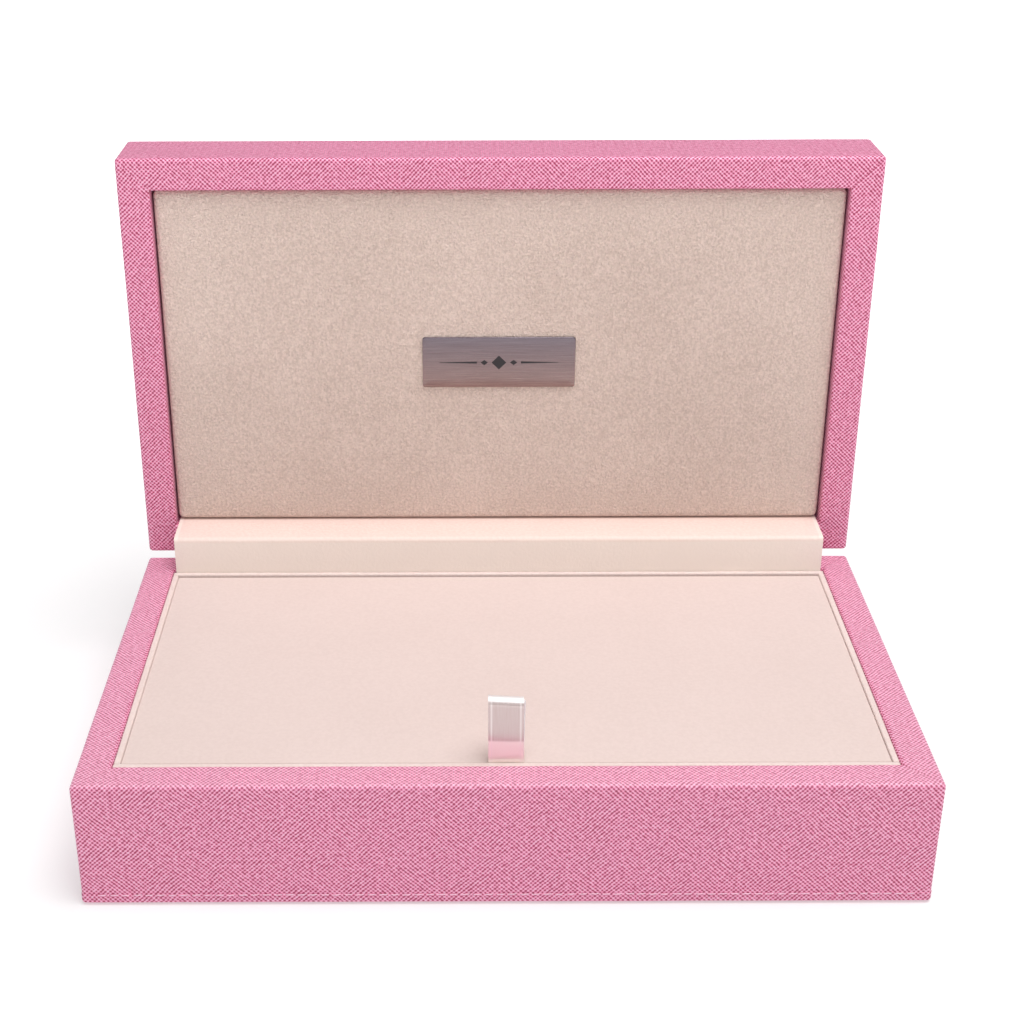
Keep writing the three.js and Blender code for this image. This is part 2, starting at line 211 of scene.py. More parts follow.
@dataclass
class RectangleSweep:
    """A section run round a rectangle with rounded corners.

    Args:
        half_width: half the rectangle's size along X, at the outer face.
        half_depth: half the rectangle's size along Y, at the outer face.
        corner_radius: radius of the corners at the outer face.
        section: (inset, height) points, the inset measured inwards from the outer face.
        closed: whether the section joins up, as round a wall.
        step: length of the segments along the sides.
        capped: whether the ends of an open section are closed with a grid of faces.
        mitre_depth: depth of the crease along the mitres of the face at height zero.
        corner_steps: segments in each corner.
        mitre_margin: width of the segments on both sides of a mitre.
    """

    half_width: float
    half_depth: float
    corner_radius: float
    section: Outline
    closed: bool
    step: float = 5 * MM
    capped: bool = False
    mitre_depth: float = 0.0
    corner_steps: int = 6
    mitre_margin: float = 0.5 * MM

    def places(self, length: float) -> list[float]:
        """Shares of a side's length at which it is divided.

        Args:
            length: length of the side.

        Returns:
            Shares from zero to one.
        """
        margin = self.mitre_margin / length
        inner = max(1, round(length / self.step))
        middle = [margin + (1 - 2 * margin) * part / inner for part in range(inner + 1)]
        return [0.0, *middle, 1.0]

    def ring(self, inset: float, height: float) -> list[tuple[Vector, Side, float]]:
        """Points round the rectangle at one inset, each with its side and place along it.

        Args:
            inset: distance in from the outer face.
            height: height of the ring.

        Returns:
            The points, in order round the rectangle.
        """
        radius = max(self.corner_radius - inset, 0.0)
        reach = {Side.FRONT: self.half_width, Side.RIGHT: self.half_depth}
        reach = {side: value - inset - radius for side, value in reach.items()}
        reach[Side.BACK] = reach[Side.FRONT]
        reach[Side.LEFT] = reach[Side.RIGHT]
        out = {Side.FRONT: self.half_depth, Side.RIGHT: self.half_width}
        out[Side.BACK], out[Side.LEFT] = out[Side.FRONT], out[Side.RIGHT]
        points = []
        for side in Side:
            turn = Matrix.Rotation(math.pi / 2 * side.value, 2)
            span = reach[side]
            for place in self.places(2 * self.side_length(side)):
                flat = Vector(((2 * place - 1) * span, inset - out[side]))
                points.append(((turn @ flat).to_3d() + Vector((0, 0, height)), side, flat.x))
            centre = Vector((span, inset + radius - out[side]))
            for step in range(1, self.corner_steps):
                angle = math.pi / 2 * step / self.corner_steps
                flat = centre + radius * Vector((math.sin(angle), -math.cos(angle)))
                along = span + radius * angle
                owner = side
                if step > self.corner_steps / 2:
                    owner = Side((side.value + 1) % 4)
                    along = -reach[owner] - radius * (math.pi / 2 - angle)
                points.append(((turn @ flat).to_3d() + Vector((0, 0, height)), owner, along))
        return points

    def side_length(self, side: Side) -> float:
        """Half the length of a side at the outer face."""
        return self.half_width if side in (Side.FRONT, Side.BACK) else self.half_depth

    def build(self) -> bmesh.types.BMesh:
        """Builds the swept surface with its grain map.

        Returns:
            The mesh, with its grain map.
        """
        built = bmesh.new()
        grain = built.loops.layers.uv.new(GRAIN_MAP)
        rings = [self.ring(inset, height) for inset, height in self.section]
        verts = [[built.verts.new(point) for point, _, _ in ring] for ring in rings]
        run = [0.0]
        ends = len(self.section) if self.closed else len(self.section) - 1
        for index in range(ends):
            here, there = self.section[index], self.section[(index + 1) % len(self.section)]
            run.append(run[-1] + math.dist(here, there))
        around = len(rings[0])
        for row in range(ends):
            over = (row + 1) % len(rings)
            for column in range(around):
                beyond = (column + 1) % around
                self.wall_face(built, grain, rings, verts, (row, over), (column, beyond),
                               (run[row], run[row + 1]))
        if self.capped:
            self.cap(built, grain, verts[0], self.section[0][1])
            self.cap(built, grain, verts[-1], self.section[-1][1])
        if self.mitre_depth:
            self.sink_mitres(verts)
        bmesh.ops.remove_doubles(built, verts=built.verts, dist=1e-6)
        bmesh.ops.recalc_face_normals(built, faces=built.faces)
        return built

    def wall_face(self, built: bmesh.types.BMesh, grain: object, rings: list, verts: list,
                  rows: tuple[int, int], columns: tuple[int, int],
                  run: tuple[float, float]) -> None:
        """Adds one face of the wall and lays the grain along its side.

        Args:
            built: the mesh.
            grain: its grain map.
            rings: the rings of points.
            verts: the vertices of each ring.
            rows: the two rings that the face joins.
            columns: the two places along them.
            run: length along the section at each ring.
        """
        corners = [(rows[0], columns[0]), (rows[0], columns[1]),
                   (rows[1], columns[1]), (rows[1], columns[0])]
        face = built.faces.new([verts[row][column] for row, column in corners])
        owner = rings[rows[0]][columns[0]][1]
        for loop, (row, column) in zip(face.loops, corners):
            _, side, along = rings[row][column]
            if side is not owner:
                radius = max(self.corner_radius - self.section[row][0], 0.0)
                before = rings[row][columns[0]][2]
                along = before + radius * math.pi / 2 / self.corner_steps
            height = run[0] if row == rows[0] else run[1]
            loop[grain].uv = (along + 0.37 * owner.value, height)

    def cap(self, built: bmesh.types.BMesh, grain: object, ring: list, height: float) -> None:
        """Closes one end of the section with a grid that lines up with the ring.

        Args:
            built: the mesh.
            grain: its grain map.
            ring: the vertices round the opening.
            height: length along the section at the opening.
        """
        wide = len(self.places(2 * self.half_width)) - 1
        deep = len(self.places(2 * self.half_depth)) - 1
        corner = self.corner_steps - 1
        starts = [0, wide + 1 + corner, wide + deep + 2 + 2 * corner,
                  2 * wide + deep + 3 + 3 * corner]
        grid = {}
        for across in range(wide + 1):
            grid[across, 0] = ring[starts[0] + across]
            grid[wide - across, deep] = ring[starts[2] + across]
        for up in range(1, deep):
            grid[wide, up] = ring[starts[1] + up]
            grid[0, deep - up] = ring[starts[3] + up]
        for across in range(1, wide):
            for up in range(1, deep):
                x = grid[across, 0].co.x
                y = grid[wide, up].co.y
                grid[across, up] = built.verts.new((x, y, height))
        for across in range(wide):
            for up in range(deep):
                keys = [(across, up), (across + 1, up), (across + 1, up + 1), (across, up + 1)]
                face = built.faces.new([grid[key] for key in keys])
                for loop in face.loops:
                    loop[grain].uv = (loop.vert.co.x + 1.9, loop.vert.co.y)

    def sink_mitres(self, verts: list) -> None:
        """Presses a fine crease along the four mitres of the rim.

        Args:
            verts: the vertices of each ring.
        """
        around = len(verts[0])
        for ring, (inset, height) in zip(verts, self.section):
            if abs(height) > 1e-6 or inset < 2 * self.corner_radius:
                continue
            start = 0
            for side in Side:
                sides = len(self.places(2 * self.side_length(side)))
                start += sides
                for step in range(-1, self.corner_steps):
                    ring[(start + step) % around].co.z -= self.mitre_depth
                start += self.corner_steps - 1


def lattice_lines(low: float, high: float, radius: float, step: float, rounds: int,
                  extra: Sequence[float] = ()) -> list[float]:
    """Lines along one axis of a slab, close together where its edges are rounded.

    Args:
        low: where the axis starts.
        high: where it ends.
        radius: radius of the rounded edges.
        step: distance of the lines between them.
        rounds: lines across each rounded edge.
        extra: more lines to include.

    Returns:
        The lines, in order.
    """
    bends = [radius * math.tan(math.pi / 4 * turn / rounds) for turn in range(rounds + 1)]
    lines = {round(low + radius - bend, 9) for bend in bends}
    lines |= {round(high - radius + bend, 9) for bend in bends}
    lines |= {round(value, 9) for value in extra}
    span = high - low - 2 * radius
    parts = max(1, round(span / step))
    for part in range(1, parts):
        value = low + radius + span * part / parts
        if min(abs(value - line) for line in lines) > step / 4:
            lines.add(round(value, 9))
    return sorted(lines)


def rounded_slab(low: Vector, high: Vector, radius: float, step: float, rounds: int = 3,
                 hem: float = 0.0, hem_axis: int = 2) -> bmesh.types.BMesh:
    """A slab with rounded edges, meshed in a regular grid.

    Args:
        low: lowest corner.
        high: highest corner.
        radius: radius of the edges.
        step: size of the grid.
        rounds: segments in half a rounded edge.
        hem: distance from the edges at which extra lines mark a turned-in hem.
        hem_axis: the axis through the slab's thickness, which takes no hem lines.

    Returns:
        The closed slab.
    """
    built = bmesh.new()
    axes = []
    for axis in range(3):
        extra: list[float] = []
        if hem and axis != hem_axis:
            ends = (low[axis], high[axis])
            extra = [end + sign * (hem + by) for end, sign in zip(ends, (1, -1))
                     for by in (0, 0.4 * MM)]
        axes.append(lattice_lines(low[axis], high[axis], radius, step, rounds, extra))
    count = [len(lines) - 1 for lines in axes]
    verts = {}

    def corner(key: tuple[int, int, int]) -> bmesh.types.BMVert:
        """The point of the lattice at that place, rounded off.

        Args:
            key: its place in the lattice, along each axis.

        Returns:
            The vertex there.
        """
        if key not in verts:
            point = Vector([lines[at] for lines, at in zip(axes, key)])
            inner = Vector([min(max(value, start + radius), end - radius)
                            for value, start, end in zip(point, low, high)])
            out = point - inner
            verts[key] = built.verts.new(inner + out.normalized() * radius)
        return verts[key]

    for axis in range(3):
        first, second = [other for other in range(3) if other != axis]
        for end in (0, count[axis]):
            for across in range(count[first]):
                for along in range(count[second]):
                    ring = []
                    for by in ((0, 0), (1, 0), (1, 1), (0, 1)):
                        key = [0, 0, 0]
                        key[axis] = end
                        key[first] = across + by[0]
                        key[second] = along + by[1]
                        ring.append(corner(tuple(key)))
                    built.faces.new(ring)
    bmesh.ops.recalc_face_normals(built, faces=built.faces)
    return built


def thick_sheet(rows: Sequence[Sequence[Vector]],
                thickness: Callable[[int], float]) -> bmesh.types.BMesh:
    """A sheet of cloth with real thickness from a grid of points on its middle surface.

    Args:
        rows: the points, row after row along the sheet.
        thickness: the cloth's thickness at a column of the grid.

    Returns:
        The closed sheet.
    """
    built = bmesh.new()
    grain = built.loops.layers.uv.new(GRAIN_MAP)
    count, wide = len(rows), len(rows[0])
    run = [0.0]
    for here, there in zip(rows, rows[1:]):
        run.append(run[-1] + (there[0] - here[0]).length)
    sides: list[list[list[bmesh.types.BMVert]]] = [[], []]
    for index, row in enumerate(rows):
        ahead, behind = rows[min(index + 1, count - 1)], rows[max(index - 1, 0)]
        upper, lower = [], []
        for column, point in enumerate(row):
            along = ahead[column] - behind[column]
            across = row[min(column + 1, wide - 1)] - row[max(column - 1, 0)]
            out = across.cross(along).normalized() * (thickness(column) / 2)
            upper.append(built.verts.new(point + out))
            lower.append(built.verts.new(point - out))
        sides[0].append(upper)
        sides[1].append(lower)

    def face(corners: list[tuple[int, int, int]]) -> None:
        """Adds a face and lays the grain map on it.

        Args:
            corners: the corners, as places in the sheet.
        """
        made = built.faces.new([sides[side][row][column] for side, row, column in corners])
        for loop, (_, row, column) in zip(made.loops, corners):
            place = (rows[row][column] - rows[row][0]).length
            loop[grain].uv = (place, run[row])

    for row in range(count - 1):
        for column in range(wide - 1):
            for side in (0, 1):
                face([(side, row, column), (side, row + 1, column),
                      (side, row + 1, column + 1), (side, row, column + 1)])
        for column in (0, wide - 1):
            face([(0, row, column), (1, row, column), (1, row + 1, column),
                  (0, row + 1, column)])
    for column in range(wide - 1):
        for row in (0, count - 1):
            face([(0, row, column), (0, row, column + 1), (1, row, column + 1),
                  (1, row, column)])
    bmesh.ops.recalc_face_normals(built, faces=built.faces)
    return built


def puff(piece: bpy.types.Object, pressure: float, cap: float,
         pinned: Callable[[Vector], bool], frames: int = 20) -> None:
    """Blows a padded piece up as cloth over its filling and keeps the result.

    Args:
        piece: the closed cover, a little smaller than it ends up.
        pressure: air pressure inside the cloth.
        cap: how far a point may move at most.
        pinned: tells whether a point is glued down, from its place.
        frames: length of the simulation.
    """
    mesh = piece.data
    start = [vert.co.copy() for vert in mesh.vertices]
    glued = piece.vertex_groups.new(name="glued")
    glued.add([index for index, place in enumerate(start) if pinned(place)], 1.0, "REPLACE")
    cloth = piece.modifiers.new("padding", "CLOTH")
    cloth.settings.vertex_group_mass = glued.name
    cloth.settings.use_pressure = True
    cloth.settings.uniform_pressure_force = pressure
    cloth.settings.effector_weights.gravity = 0.0
    cloth.settings.quality = 6
    cloth.point_cache.frame_end = frames
    scene = bpy.context.scene
    for number in range(1, frames + 1):
        scene.frame_set(number)
    depsgraph = bpy.context.evaluated_depsgraph_get()
    swollen = piece.evaluated_get(depsgraph).data
    moved = [vert.co - place for vert, place in zip(swollen.vertices, start)]
    piece.modifiers.clear()
    piece.vertex_groups.clear()
    for vert, place, move in zip(mesh.vertices, start, moved):
        length = move.length
        share = cap * math.tanh(length / cap) / length if length > 1e-9 else 0.0
        vert.co = place + move * share
    mesh.update()
    scene.frame_set(1)


# ------------------------------------------------------------------------- shader helpers


class Bench:
    """Lays shader nodes out in one node tree."""

    def __init__(self, tree: bpy.types.NodeTree) -> None:
        """Starts on an existing tree."""
        self.tree = tree

    def add(self, kind: str, **settings: object) -> bpy.types.Node:
        """Adds a node and sets its properties.

        Args:
            kind: type of the node.
            settings: properties of the node, by name.

        Returns:
            The new node.
        """
        made = self.tree.nodes.new(kind)
        for name, value in settings.items():
            setattr(made, name, value)
        made.location = (180 * (len(self.tree.nodes) % 12), -200 * (len(self.tree.nodes) // 12))
        return made

    def feed(self, socket: bpy.types.NodeSocket, value: object) -> None:
        """Links a socket's source to it, or sets it to a plain value.

        Args:
            socket: the input to set.
            value: a socket to link, or a plain value.
        """
        if isinstance(value, bpy.types.NodeSocket):
            self.tree.links.new(value, socket)
        elif isinstance(value, tuple) and len(socket.default_value) == 4:
            socket.default_value = (*value, 1.0)
        else:
            socket.default_value = value

    def math(self, operation: str, *values: object) -> bpy.types.NodeSocket:
        """One arithmetic step on up to three values.

        Args:
            operation: name of the step.
            values: sockets or numbers.

        Returns:
            The result.
        """
        made = self.add("ShaderNodeMath", operation=operation)
        for socket, value in zip(made.inputs, values):
            self.feed(socket, value)
        return made.outputs[0]

    def vector(self, operation: str, *values: object) -> bpy.types.NodeSocket:
        """One arithmetic step on vectors.

        Args:
            operation: name of the step.
            values: sockets or vectors.

        Returns:
            The result.
        """
        made = self.add("ShaderNodeVectorMath", operation=operation)
        sockets = made.inputs
        if operation == "SCALE":
            sockets = (made.inputs[0], made.inputs[3])
        for socket, value in zip(sockets, values):
            self.feed(socket, value)
        return made.outputs[1 if operation == "LENGTH" else 0]

    def part(self, vector: object, axis: int) -> bpy.types.NodeSocket:
        """One coordinate of a vector.

        Args:
            vector: the vector.
            axis: 0, 1 or 2 for x, y or z.

        Returns:
            The coordinate.
        """
        made = self.add("ShaderNodeSeparateXYZ")
        self.feed(made.inputs[0], vector)
        return made.outputs[axis]

    def off(self, value: object, middle: float) -> bpy.types.NodeSocket:
        """Distance of a value from a middle."""
        return self.math("ABSOLUTE", self.math("SUBTRACT", value, middle))

    def remap(self, value: object, source: tuple[float, float],
              target: tuple[float, float] = (0.0, 1.0), smooth: bool = False) -> bpy.types.NodeSocket:
        """Moves a value from one span to another, held within it.

        Args:
            value: the value to move.
            source: the span it comes from.
            target: the span it goes to.
            smooth: eases both ends.

        Returns:
            The moved value.
        """
        made = self.add("ShaderNodeMapRange")
        made.interpolation_type = "SMOOTHSTEP" if smooth else "LINEAR"
        self.feed(made.inputs["Value"], value)
        for name, number in zip(("From Min", "From Max", "To Min", "To Max"), source + target):
            self.feed(made.inputs[name], number)
        return made.outputs[0]

    def colours(self, share: object, first: object, second: object,
                how: str = "MIX") -> bpy.types.NodeSocket:
        """Mixes two colours by a share.

        Args:
            share: share of the second colour.
            first: first colour.
            second: second colour.
            how: way of mixing.

        Returns:
            The mixed colour.
        """
        made = self.add("ShaderNodeMix", data_type="RGBA", blend_type=how)
        self.feed(made.inputs[0], share)
        self.feed(made.inputs[6], first)
        self.feed(made.inputs[7], second)
        return made.outputs[2]

    def noise(self, vector: object, scale: object, detail: float = 2.0,
              roughness: float = 0.5) -> bpy.types.Node:
        """A noise texture.

        Args:
            vector: the place to look at.
            scale: number of lumps to a metre.
            detail: octaves of finer lumps.
            roughness: share of the finer lumps.

        Returns:
            The noise node.
        """
        made = self.add("ShaderNodeTexNoise")
        self.feed(made.inputs["Vector"], vector)
        self.feed(made.inputs["Scale"], scale)
        self.feed(made.inputs["Detail"], detail)
        self.feed(made.inputs["Roughness"], roughness)
        return made


def group(name: str, inputs: dict[str, object], outputs: Sequence[str],
          draw: Callable[["Bench", dict], dict]) -> bpy.types.NodeTree:
    """Makes a shared shader effect once.

    Args:
        name: the effect's name.
        inputs: its inputs with their plain values; a vector is a tuple.
        outputs: names of its outputs.
        draw: lays the nodes out and gives the socket of each output.

    Returns:
        The node group.
    """
    known = bpy.data.node_groups.get(name)
    if known is not None:
        return known
    tree = bpy.data.node_groups.new(name, "ShaderNodeTree")
    for title, value in inputs.items():
        kind = "NodeSocketVector" if isinstance(value, tuple) else "NodeSocketFloat"
        made = tree.interface.new_socket(title, in_out="INPUT", socket_type=kind)
        made.default_value = value
    for title in outputs:
        tree.interface.new_socket(title, in_out="OUTPUT", socket_type="NodeSocketFloat")
    bench = Bench(tree)
    entry = bench.add("NodeGroupInput")
    leave = bench.add("NodeGroupOutput")
    for title, socket in draw(bench, {title: entry.outputs[title] for title in inputs}).items():
        tree.links.new(socket, leave.inputs[title])
    return tree


def crosshatch_effect() -> bpy.types.NodeTree:
    """Pressed leatherette grain: two families of slanting ridges with pits between.

    Returns:
        The node group.
    """

    def draw(bench: Bench, given: dict) -> dict:
        """Lays the grain out.

        Args:
            bench: where the nodes are laid out.
            given: the group's inputs, by name.

        Returns:
            The group's outputs, by name.
        """
        place = given["Vector"]
        for scale, share in ((110.0, 1.0), (300.0, 0.45), (700.0, 0.25)):
            wander = bench.noise(given["Vector"], scale, 1.0).outputs["Color"]
            shift = bench.vector("SUBTRACT", wander, (0.5, 0.5, 0.5))
            reach = bench.math("MULTIPLY", given["Wander"], share)
            place = bench.vector("ADD", place, bench.vector("SCALE", shift, reach))
        turn = bench.math("DIVIDE", math.tau / math.sqrt(2), given["Pitch"])
        waves = []
        for operation in ("ADD", "SUBTRACT"):
            slant = bench.math(operation, bench.part(place, 0), bench.part(place, 1))
            wave = bench.math("COSINE", bench.math("MULTIPLY", slant, turn))
            waves.append(bench.math("MULTIPLY_ADD", wave, 0.5, 0.5))
        patch = bench.noise(given["Vector"], given["Patch Scale"], 1.5, 0.6).outputs["Fac"]
        lean = bench.remap(patch, (0.35, 0.65), (0.36, 0.64), smooth=True)
        first = bench.math("MULTIPLY", waves[0], lean)
        second = bench.math("MULTIPLY", waves[1], bench.math("SUBTRACT", 1.0, lean))
        speck = bench.noise(given["Vector"], 850.0, 2.0).outputs["Fac"]
        height = bench.math("ADD", bench.math("ADD", first, second),
                            bench.remap(speck, (0.3, 0.7), (-0.18, 0.18)))
        return {"Height": height, "Patch": patch,
                "Pits": bench.remap(height, (0.2, 0.52), (1.0, 0.0), smooth=True),
                "Crowns": bench.remap(height, (0.6, 0.98), smooth=True)}

    inputs = {"Vector": (0.0, 0.0, 0.0), "Pitch": 0.95 * MM, "Wander": 0.7 * MM,
              "Patch Scale": 95.0}
    return group("pressed crosshatch", inputs, ("Height", "Patch", "Pits", "Crowns"), draw)


def nap_effect() -> bpy.types.NodeTree:
    """Short pile: fine fibres, a soft mottle and slow clouds where the pile leans.

    Returns:
        The node group.
    """

    def draw(bench: Bench, given: dict) -> dict:
        """Lays the pile out.

        Args:
            bench: where the nodes are laid out.
            given: the group's inputs, by name.

        Returns:
            The group's outputs, by name.
        """
        fibre = bench.noise(given["Vector"], given["Fibre Scale"], 2.0, 0.6).outputs["Fac"]
        mottle = bench.noise(given["Vector"], given["Mottle Scale"], 3.0, 0.55).outputs["Fac"]
        cloud = bench.noise(given["Vector"], given["Cloud Scale"], 2.0, 0.5).outputs["Fac"]
        height = bench.math("ADD", bench.math("MULTIPLY", mottle, given["Mottle"]),
                            bench.math("MULTIPLY", fibre, 0.35))
        worms = bench.noise(given["Vector"], given["Crease Scale"], 1.0).outputs["Fac"]
        crease = bench.remap(bench.off(worms, 0.5), (0.0, 0.15), (1.0, 0.0), smooth=True)
        crease = bench.math("MULTIPLY", crease, given["Creases"])
        height = bench.math("SUBTRACT", height, crease)
        return {"Crease": crease, "Height": height, "Mottle": bench.remap(mottle, (0.35, 0.65)),
                "Cloud": bench.remap(cloud, (0.3, 0.7))}

    inputs = {"Vector": (0.0, 0.0, 0.0), "Fibre Scale": 3000.0, "Mottle Scale": 600.0,
              "Cloud Scale": 25.0, "Mottle": 1.0, "Crease Scale": 900.0, "Creases": 0.0}
    return group("short pile", inputs, ("Height", "Mottle", "Cloud", "Crease"), draw)


def brushing_effect() -> bpy.types.NodeTree:
    """Fine straight scratches of brushed metal.

    Returns:
        The node group.
    """

    def draw(bench: Bench, given: dict) -> dict:
        """Lays the scratches out.

        Args:
            bench: where the nodes are laid out.
            given: the group's inputs, by name.

        Returns:
            The group's outputs, by name.
        """
        long_way = bench.vector("MULTIPLY", given["Vector"], given["Stretch"])
        fine = bench.noise(long_way, 1.0, 3.0, 0.65).outputs["Fac"]
        broad = bench.noise(bench.vector("SCALE", long_way, 0.12), 1.0, 1.0).outputs["Fac"]
        return {"Scratches": bench.remap(fine, (0.3, 0.7)),
                "Bands": bench.remap(broad, (0.3, 0.7))}

    inputs = {"Vector": (0.0, 0.0, 0.0), "Stretch": (60.0, 5200.0, 5200.0)}
    return group("fine brushing", inputs, ("Scratches", "Bands"), draw)


def wear_effect() -> bpy.types.NodeTree:
    """Paler rub on the outer edges, broken up by a grain.

    Returns:
        The node group.
    """

    def draw(bench: Bench, given: dict) -> dict:
        """Lays the wear out.

        Args:
            bench: where the nodes are laid out.
            given: the group's inputs, by name.

        Returns:
            The group's outputs, by name.
        """
        shape = bench.add("ShaderNodeNewGeometry").outputs["Pointiness"]
        edge = bench.remap(shape, (0.52, 0.62), smooth=True)
        broken = bench.noise(given["Vector"], given["Scale"], 3.0, 0.6).outputs["Fac"]
        rub = bench.math("MULTIPLY", edge, bench.remap(broken, (0.4, 0.7)))
        return {"Rub": bench.math("MULTIPLY", rub, given["Amount"])}

    inputs = {"Vector": (0.0, 0.0, 0.0), "Scale": 400.0, "Amount": 0.5}
    return group("edge wear", inputs, ("Rub",), draw)


class Dressing:
    """One material being put together round a Principled shader."""

    def __init__(self, name: str, roughness: float, metallic: float = 0.0) -> None:
        """Starts a material with plain roughness and metallic values.

        Args:
            name: name of the material.
            roughness: plain roughness.
            metallic: plain metallic value.
        """
        self.material = bpy.data.materials.new(name)
        self.material.use_nodes = True
        self.bench = Bench(self.material.node_tree)
        self.shader = self.material.node_tree.nodes["Principled BSDF"]
        self.put("Roughness", roughness)
        self.put("Metallic", metallic)

    def put(self, socket: str, value: object) -> None:
        """Sets or feeds one of the shader's sockets."""
        self.bench.feed(self.shader.inputs[socket], value)

    def place(self, mapped: bool) -> bpy.types.NodeSocket:
        """The coordinates of the pattern: the grain map, or the piece's own space.

        Args:
            mapped: takes the grain map instead of the piece's own space.

        Returns:
            The coordinates.
        """
        if mapped:
            return self.bench.add("ShaderNodeUVMap", uv_map=GRAIN_MAP).outputs[0]
        return self.bench.add("ShaderNodeTexCoord").outputs["Object"]

    def effect(self, tree: bpy.types.NodeTree, **values: object) -> bpy.types.Node:
        """Places a shared effect; underscores in the names stand for spaces.

        Args:
            tree: the shared node group.
            values: its inputs, by name.

        Returns:
            The placed group.
        """
        made = self.bench.add("ShaderNodeGroup", node_tree=tree)
        for title, value in values.items():
            self.bench.feed(made.inputs[title.replace("_", " ")], value)
        return made

    def bump(self, height: object, strength: float, depth: float) -> None:
        """Adds relief to the surface.

        Args:
            height: height of the relief.
            strength: share of the relief that shows.
            depth: depth of the relief.
        """
        made = self.bench.add("ShaderNodeBump")
        made.inputs["Strength"].default_value = strength
        made.inputs["Distance"].default_value = depth
        self.bench.feed(made.inputs["Height"], height)
        self.put("Normal", made.outputs[0])


# ------------------------------------------------------------------------------- finishes


@dataclass(frozen=True)
class Leatherette:
    """Pink crosshatched leatherette of the outside and the rims.

    The rim, a span of the grain map's length, is painted paler: a painted highlight for the light on
    the rim's top face.
    """

    name: str = "pink_leatherette"
    slot: str = "leatherette"
    ridge: Colour = (0.91, 0.275, 0.48)
    # Painted highlight: pale colour for the crowns where the ridges cross.
    crown_highlight: Colour = (0.94, 0.55, 0.72)
    pit: Colour = (0.36, 0.02, 0.085)
    rubbed: Colour = (0.97, 0.62, 0.75)
    # Painted highlight: the paler colour painted on the rim's top face.
    painted_rim_highlight: Colour = (1.0, 0.75, 0.86)
    pitch: float = 0.95 * MM
    rim: tuple[float, float] | None = None
    rim_highlight_share: float = 0.15

    def material(self) -> bpy.types.Material:
        """Makes the leatherette.

        Returns:
            The finished material.
        """
        made = Dressing(self.name, 0.42)
        bench = made.bench
        place = made.place(True)
        grain = made.effect(crosshatch_effect(), Vector=place, Pitch=self.pitch)
        wear = made.effect(wear_effect(), Vector=place, Scale=700.0, Amount=0.35)
        tone = bench.colours(bench.remap(grain.outputs["Patch"], (0.3, 0.7)),
                             tuple(0.94 * part for part in self.ridge), self.ridge)
        # Painted highlight: the crowns where the ridges cross are painted paler, standing in for
        # glints on the ridges.
        tone = bench.colours(grain.outputs["Crowns"], tone, self.crown_highlight)
        # The pits are darker: partly the grain's own tone, partly painted shade in its hollows.
        tone = bench.colours(grain.outputs["Pits"], tone, self.pit)
        # Painted highlight: the rim's top face is painted paler to stand in for the light and sheen
        # it catches.
        if self.rim:
            half = (self.rim[1] - self.rim[0]) / 2
            off = bench.off(bench.part(place, 1), self.rim[0] + half)
            rim_highlight_mask = bench.remap(off, (half - MM, half + 0.4 * MM), (self.rim_highlight_share, 0.0),
                                smooth=True)
            tone = bench.colours(rim_highlight_mask, tone, self.painted_rim_highlight)
        made.put("Base Color", bench.colours(wear.outputs["Rub"], tone, self.rubbed))
        made.put("Roughness", bench.remap(grain.outputs["Pits"], (0.0, 1.0), (0.42, 0.7)))
        made.put("Specular IOR Level", 0.9)
        made.put("Sheen Weight", 0.2)
        made.put("Sheen Roughness", 0.35)
        made.put("Sheen Tint", (1.0, 0.86, 0.93))
        made.bump(grain.outputs["Height"], 0.8, 0.16 * MM)
        return made.material


@dataclass(frozen=True)
class NappedCloth:
    """Velvet or suede: a short pile with a soft sheen.

    A mapped cloth with a span has paler bands along the two ends of its width, and over the first
    part of its length, the rise, which is the strip's upright front, it is painted lighter: painted
    light.
    """

    name: str
    slot: str
    pile: Pile
    light: Colour
    dark: Colour
    mapped: bool = False
    span: float = 0.0
    rise: float = 0.0

    def material(self) -> bpy.types.Material:
        """Makes the cloth.

        Returns:
            The finished material.
        """
        suede = self.pile is Pile.SUEDE
        made = Dressing(self.name, 0.9)
        bench = made.bench
        place = made.place(self.mapped)
        values = {"Mottle_Scale": 1300.0, "Cloud_Scale": 22.0, "Mottle": 1.0,
                  "Crease_Scale": 900.0, "Creases": 0.35} if suede else \
            {"Mottle_Scale": 900.0, "Cloud_Scale": 30.0, "Mottle": 0.8 if self.mapped else 0.4}
        nap = made.effect(nap_effect(), Vector=place, Fibre_Scale=3200.0, **values)
        wear = made.effect(wear_effect(), Vector=place, Scale=500.0,
                           Amount=0.1 if self.mapped else 0.3)
        share = bench.math("ADD", bench.math("MULTIPLY", nap.outputs["Mottle"], 0.7),
                           bench.math("MULTIPLY", nap.outputs["Cloud"], 0.3))
        tone = bench.colours(share, self.dark, self.light)
        # Painted shade: the creases are darkened to stand in for the shade that falls in them.
        tone = bench.colours(bench.math("MULTIPLY", nap.outputs["Crease"], 0.4), tone,
                             tuple(0.8 * part for part in self.dark))
        pale = tuple(min(1.0, 1.06 * part) for part in self.light)
        if self.span:
            off = bench.off(bench.part(place, 0), self.span / 2)
            band = bench.remap(off, (self.span / 2 - 1.4 * MM, self.span / 2 - 1.1 * MM))
            tone = bench.colours(band, tone, pale)
            # Painted light: the upright front of the strip, up to the rise, is painted lighter than
            # its top.
            upright = bench.remap(bench.part(place, 1), (self.rise - MM, self.rise + MM),
                                  (1.0, 0.0))
            tone = bench.colours(upright, tone, tuple(min(0.97, 1.1 * part)
                                                      for part in self.light))
        made.put("Base Color", bench.colours(wear.outputs["Rub"], tone, pale))
        made.put("Sheen Weight", 0.25 if suede else 0.35)
        made.put("Sheen Roughness", 0.5)
        made.put("Specular IOR Level", 0.2)
        made.bump(nap.outputs["Height"], 0.9 if suede else 0.5 if self.mapped else 0.3,
                  0.9 * MM if suede else 0.3 * MM)
        return made.material


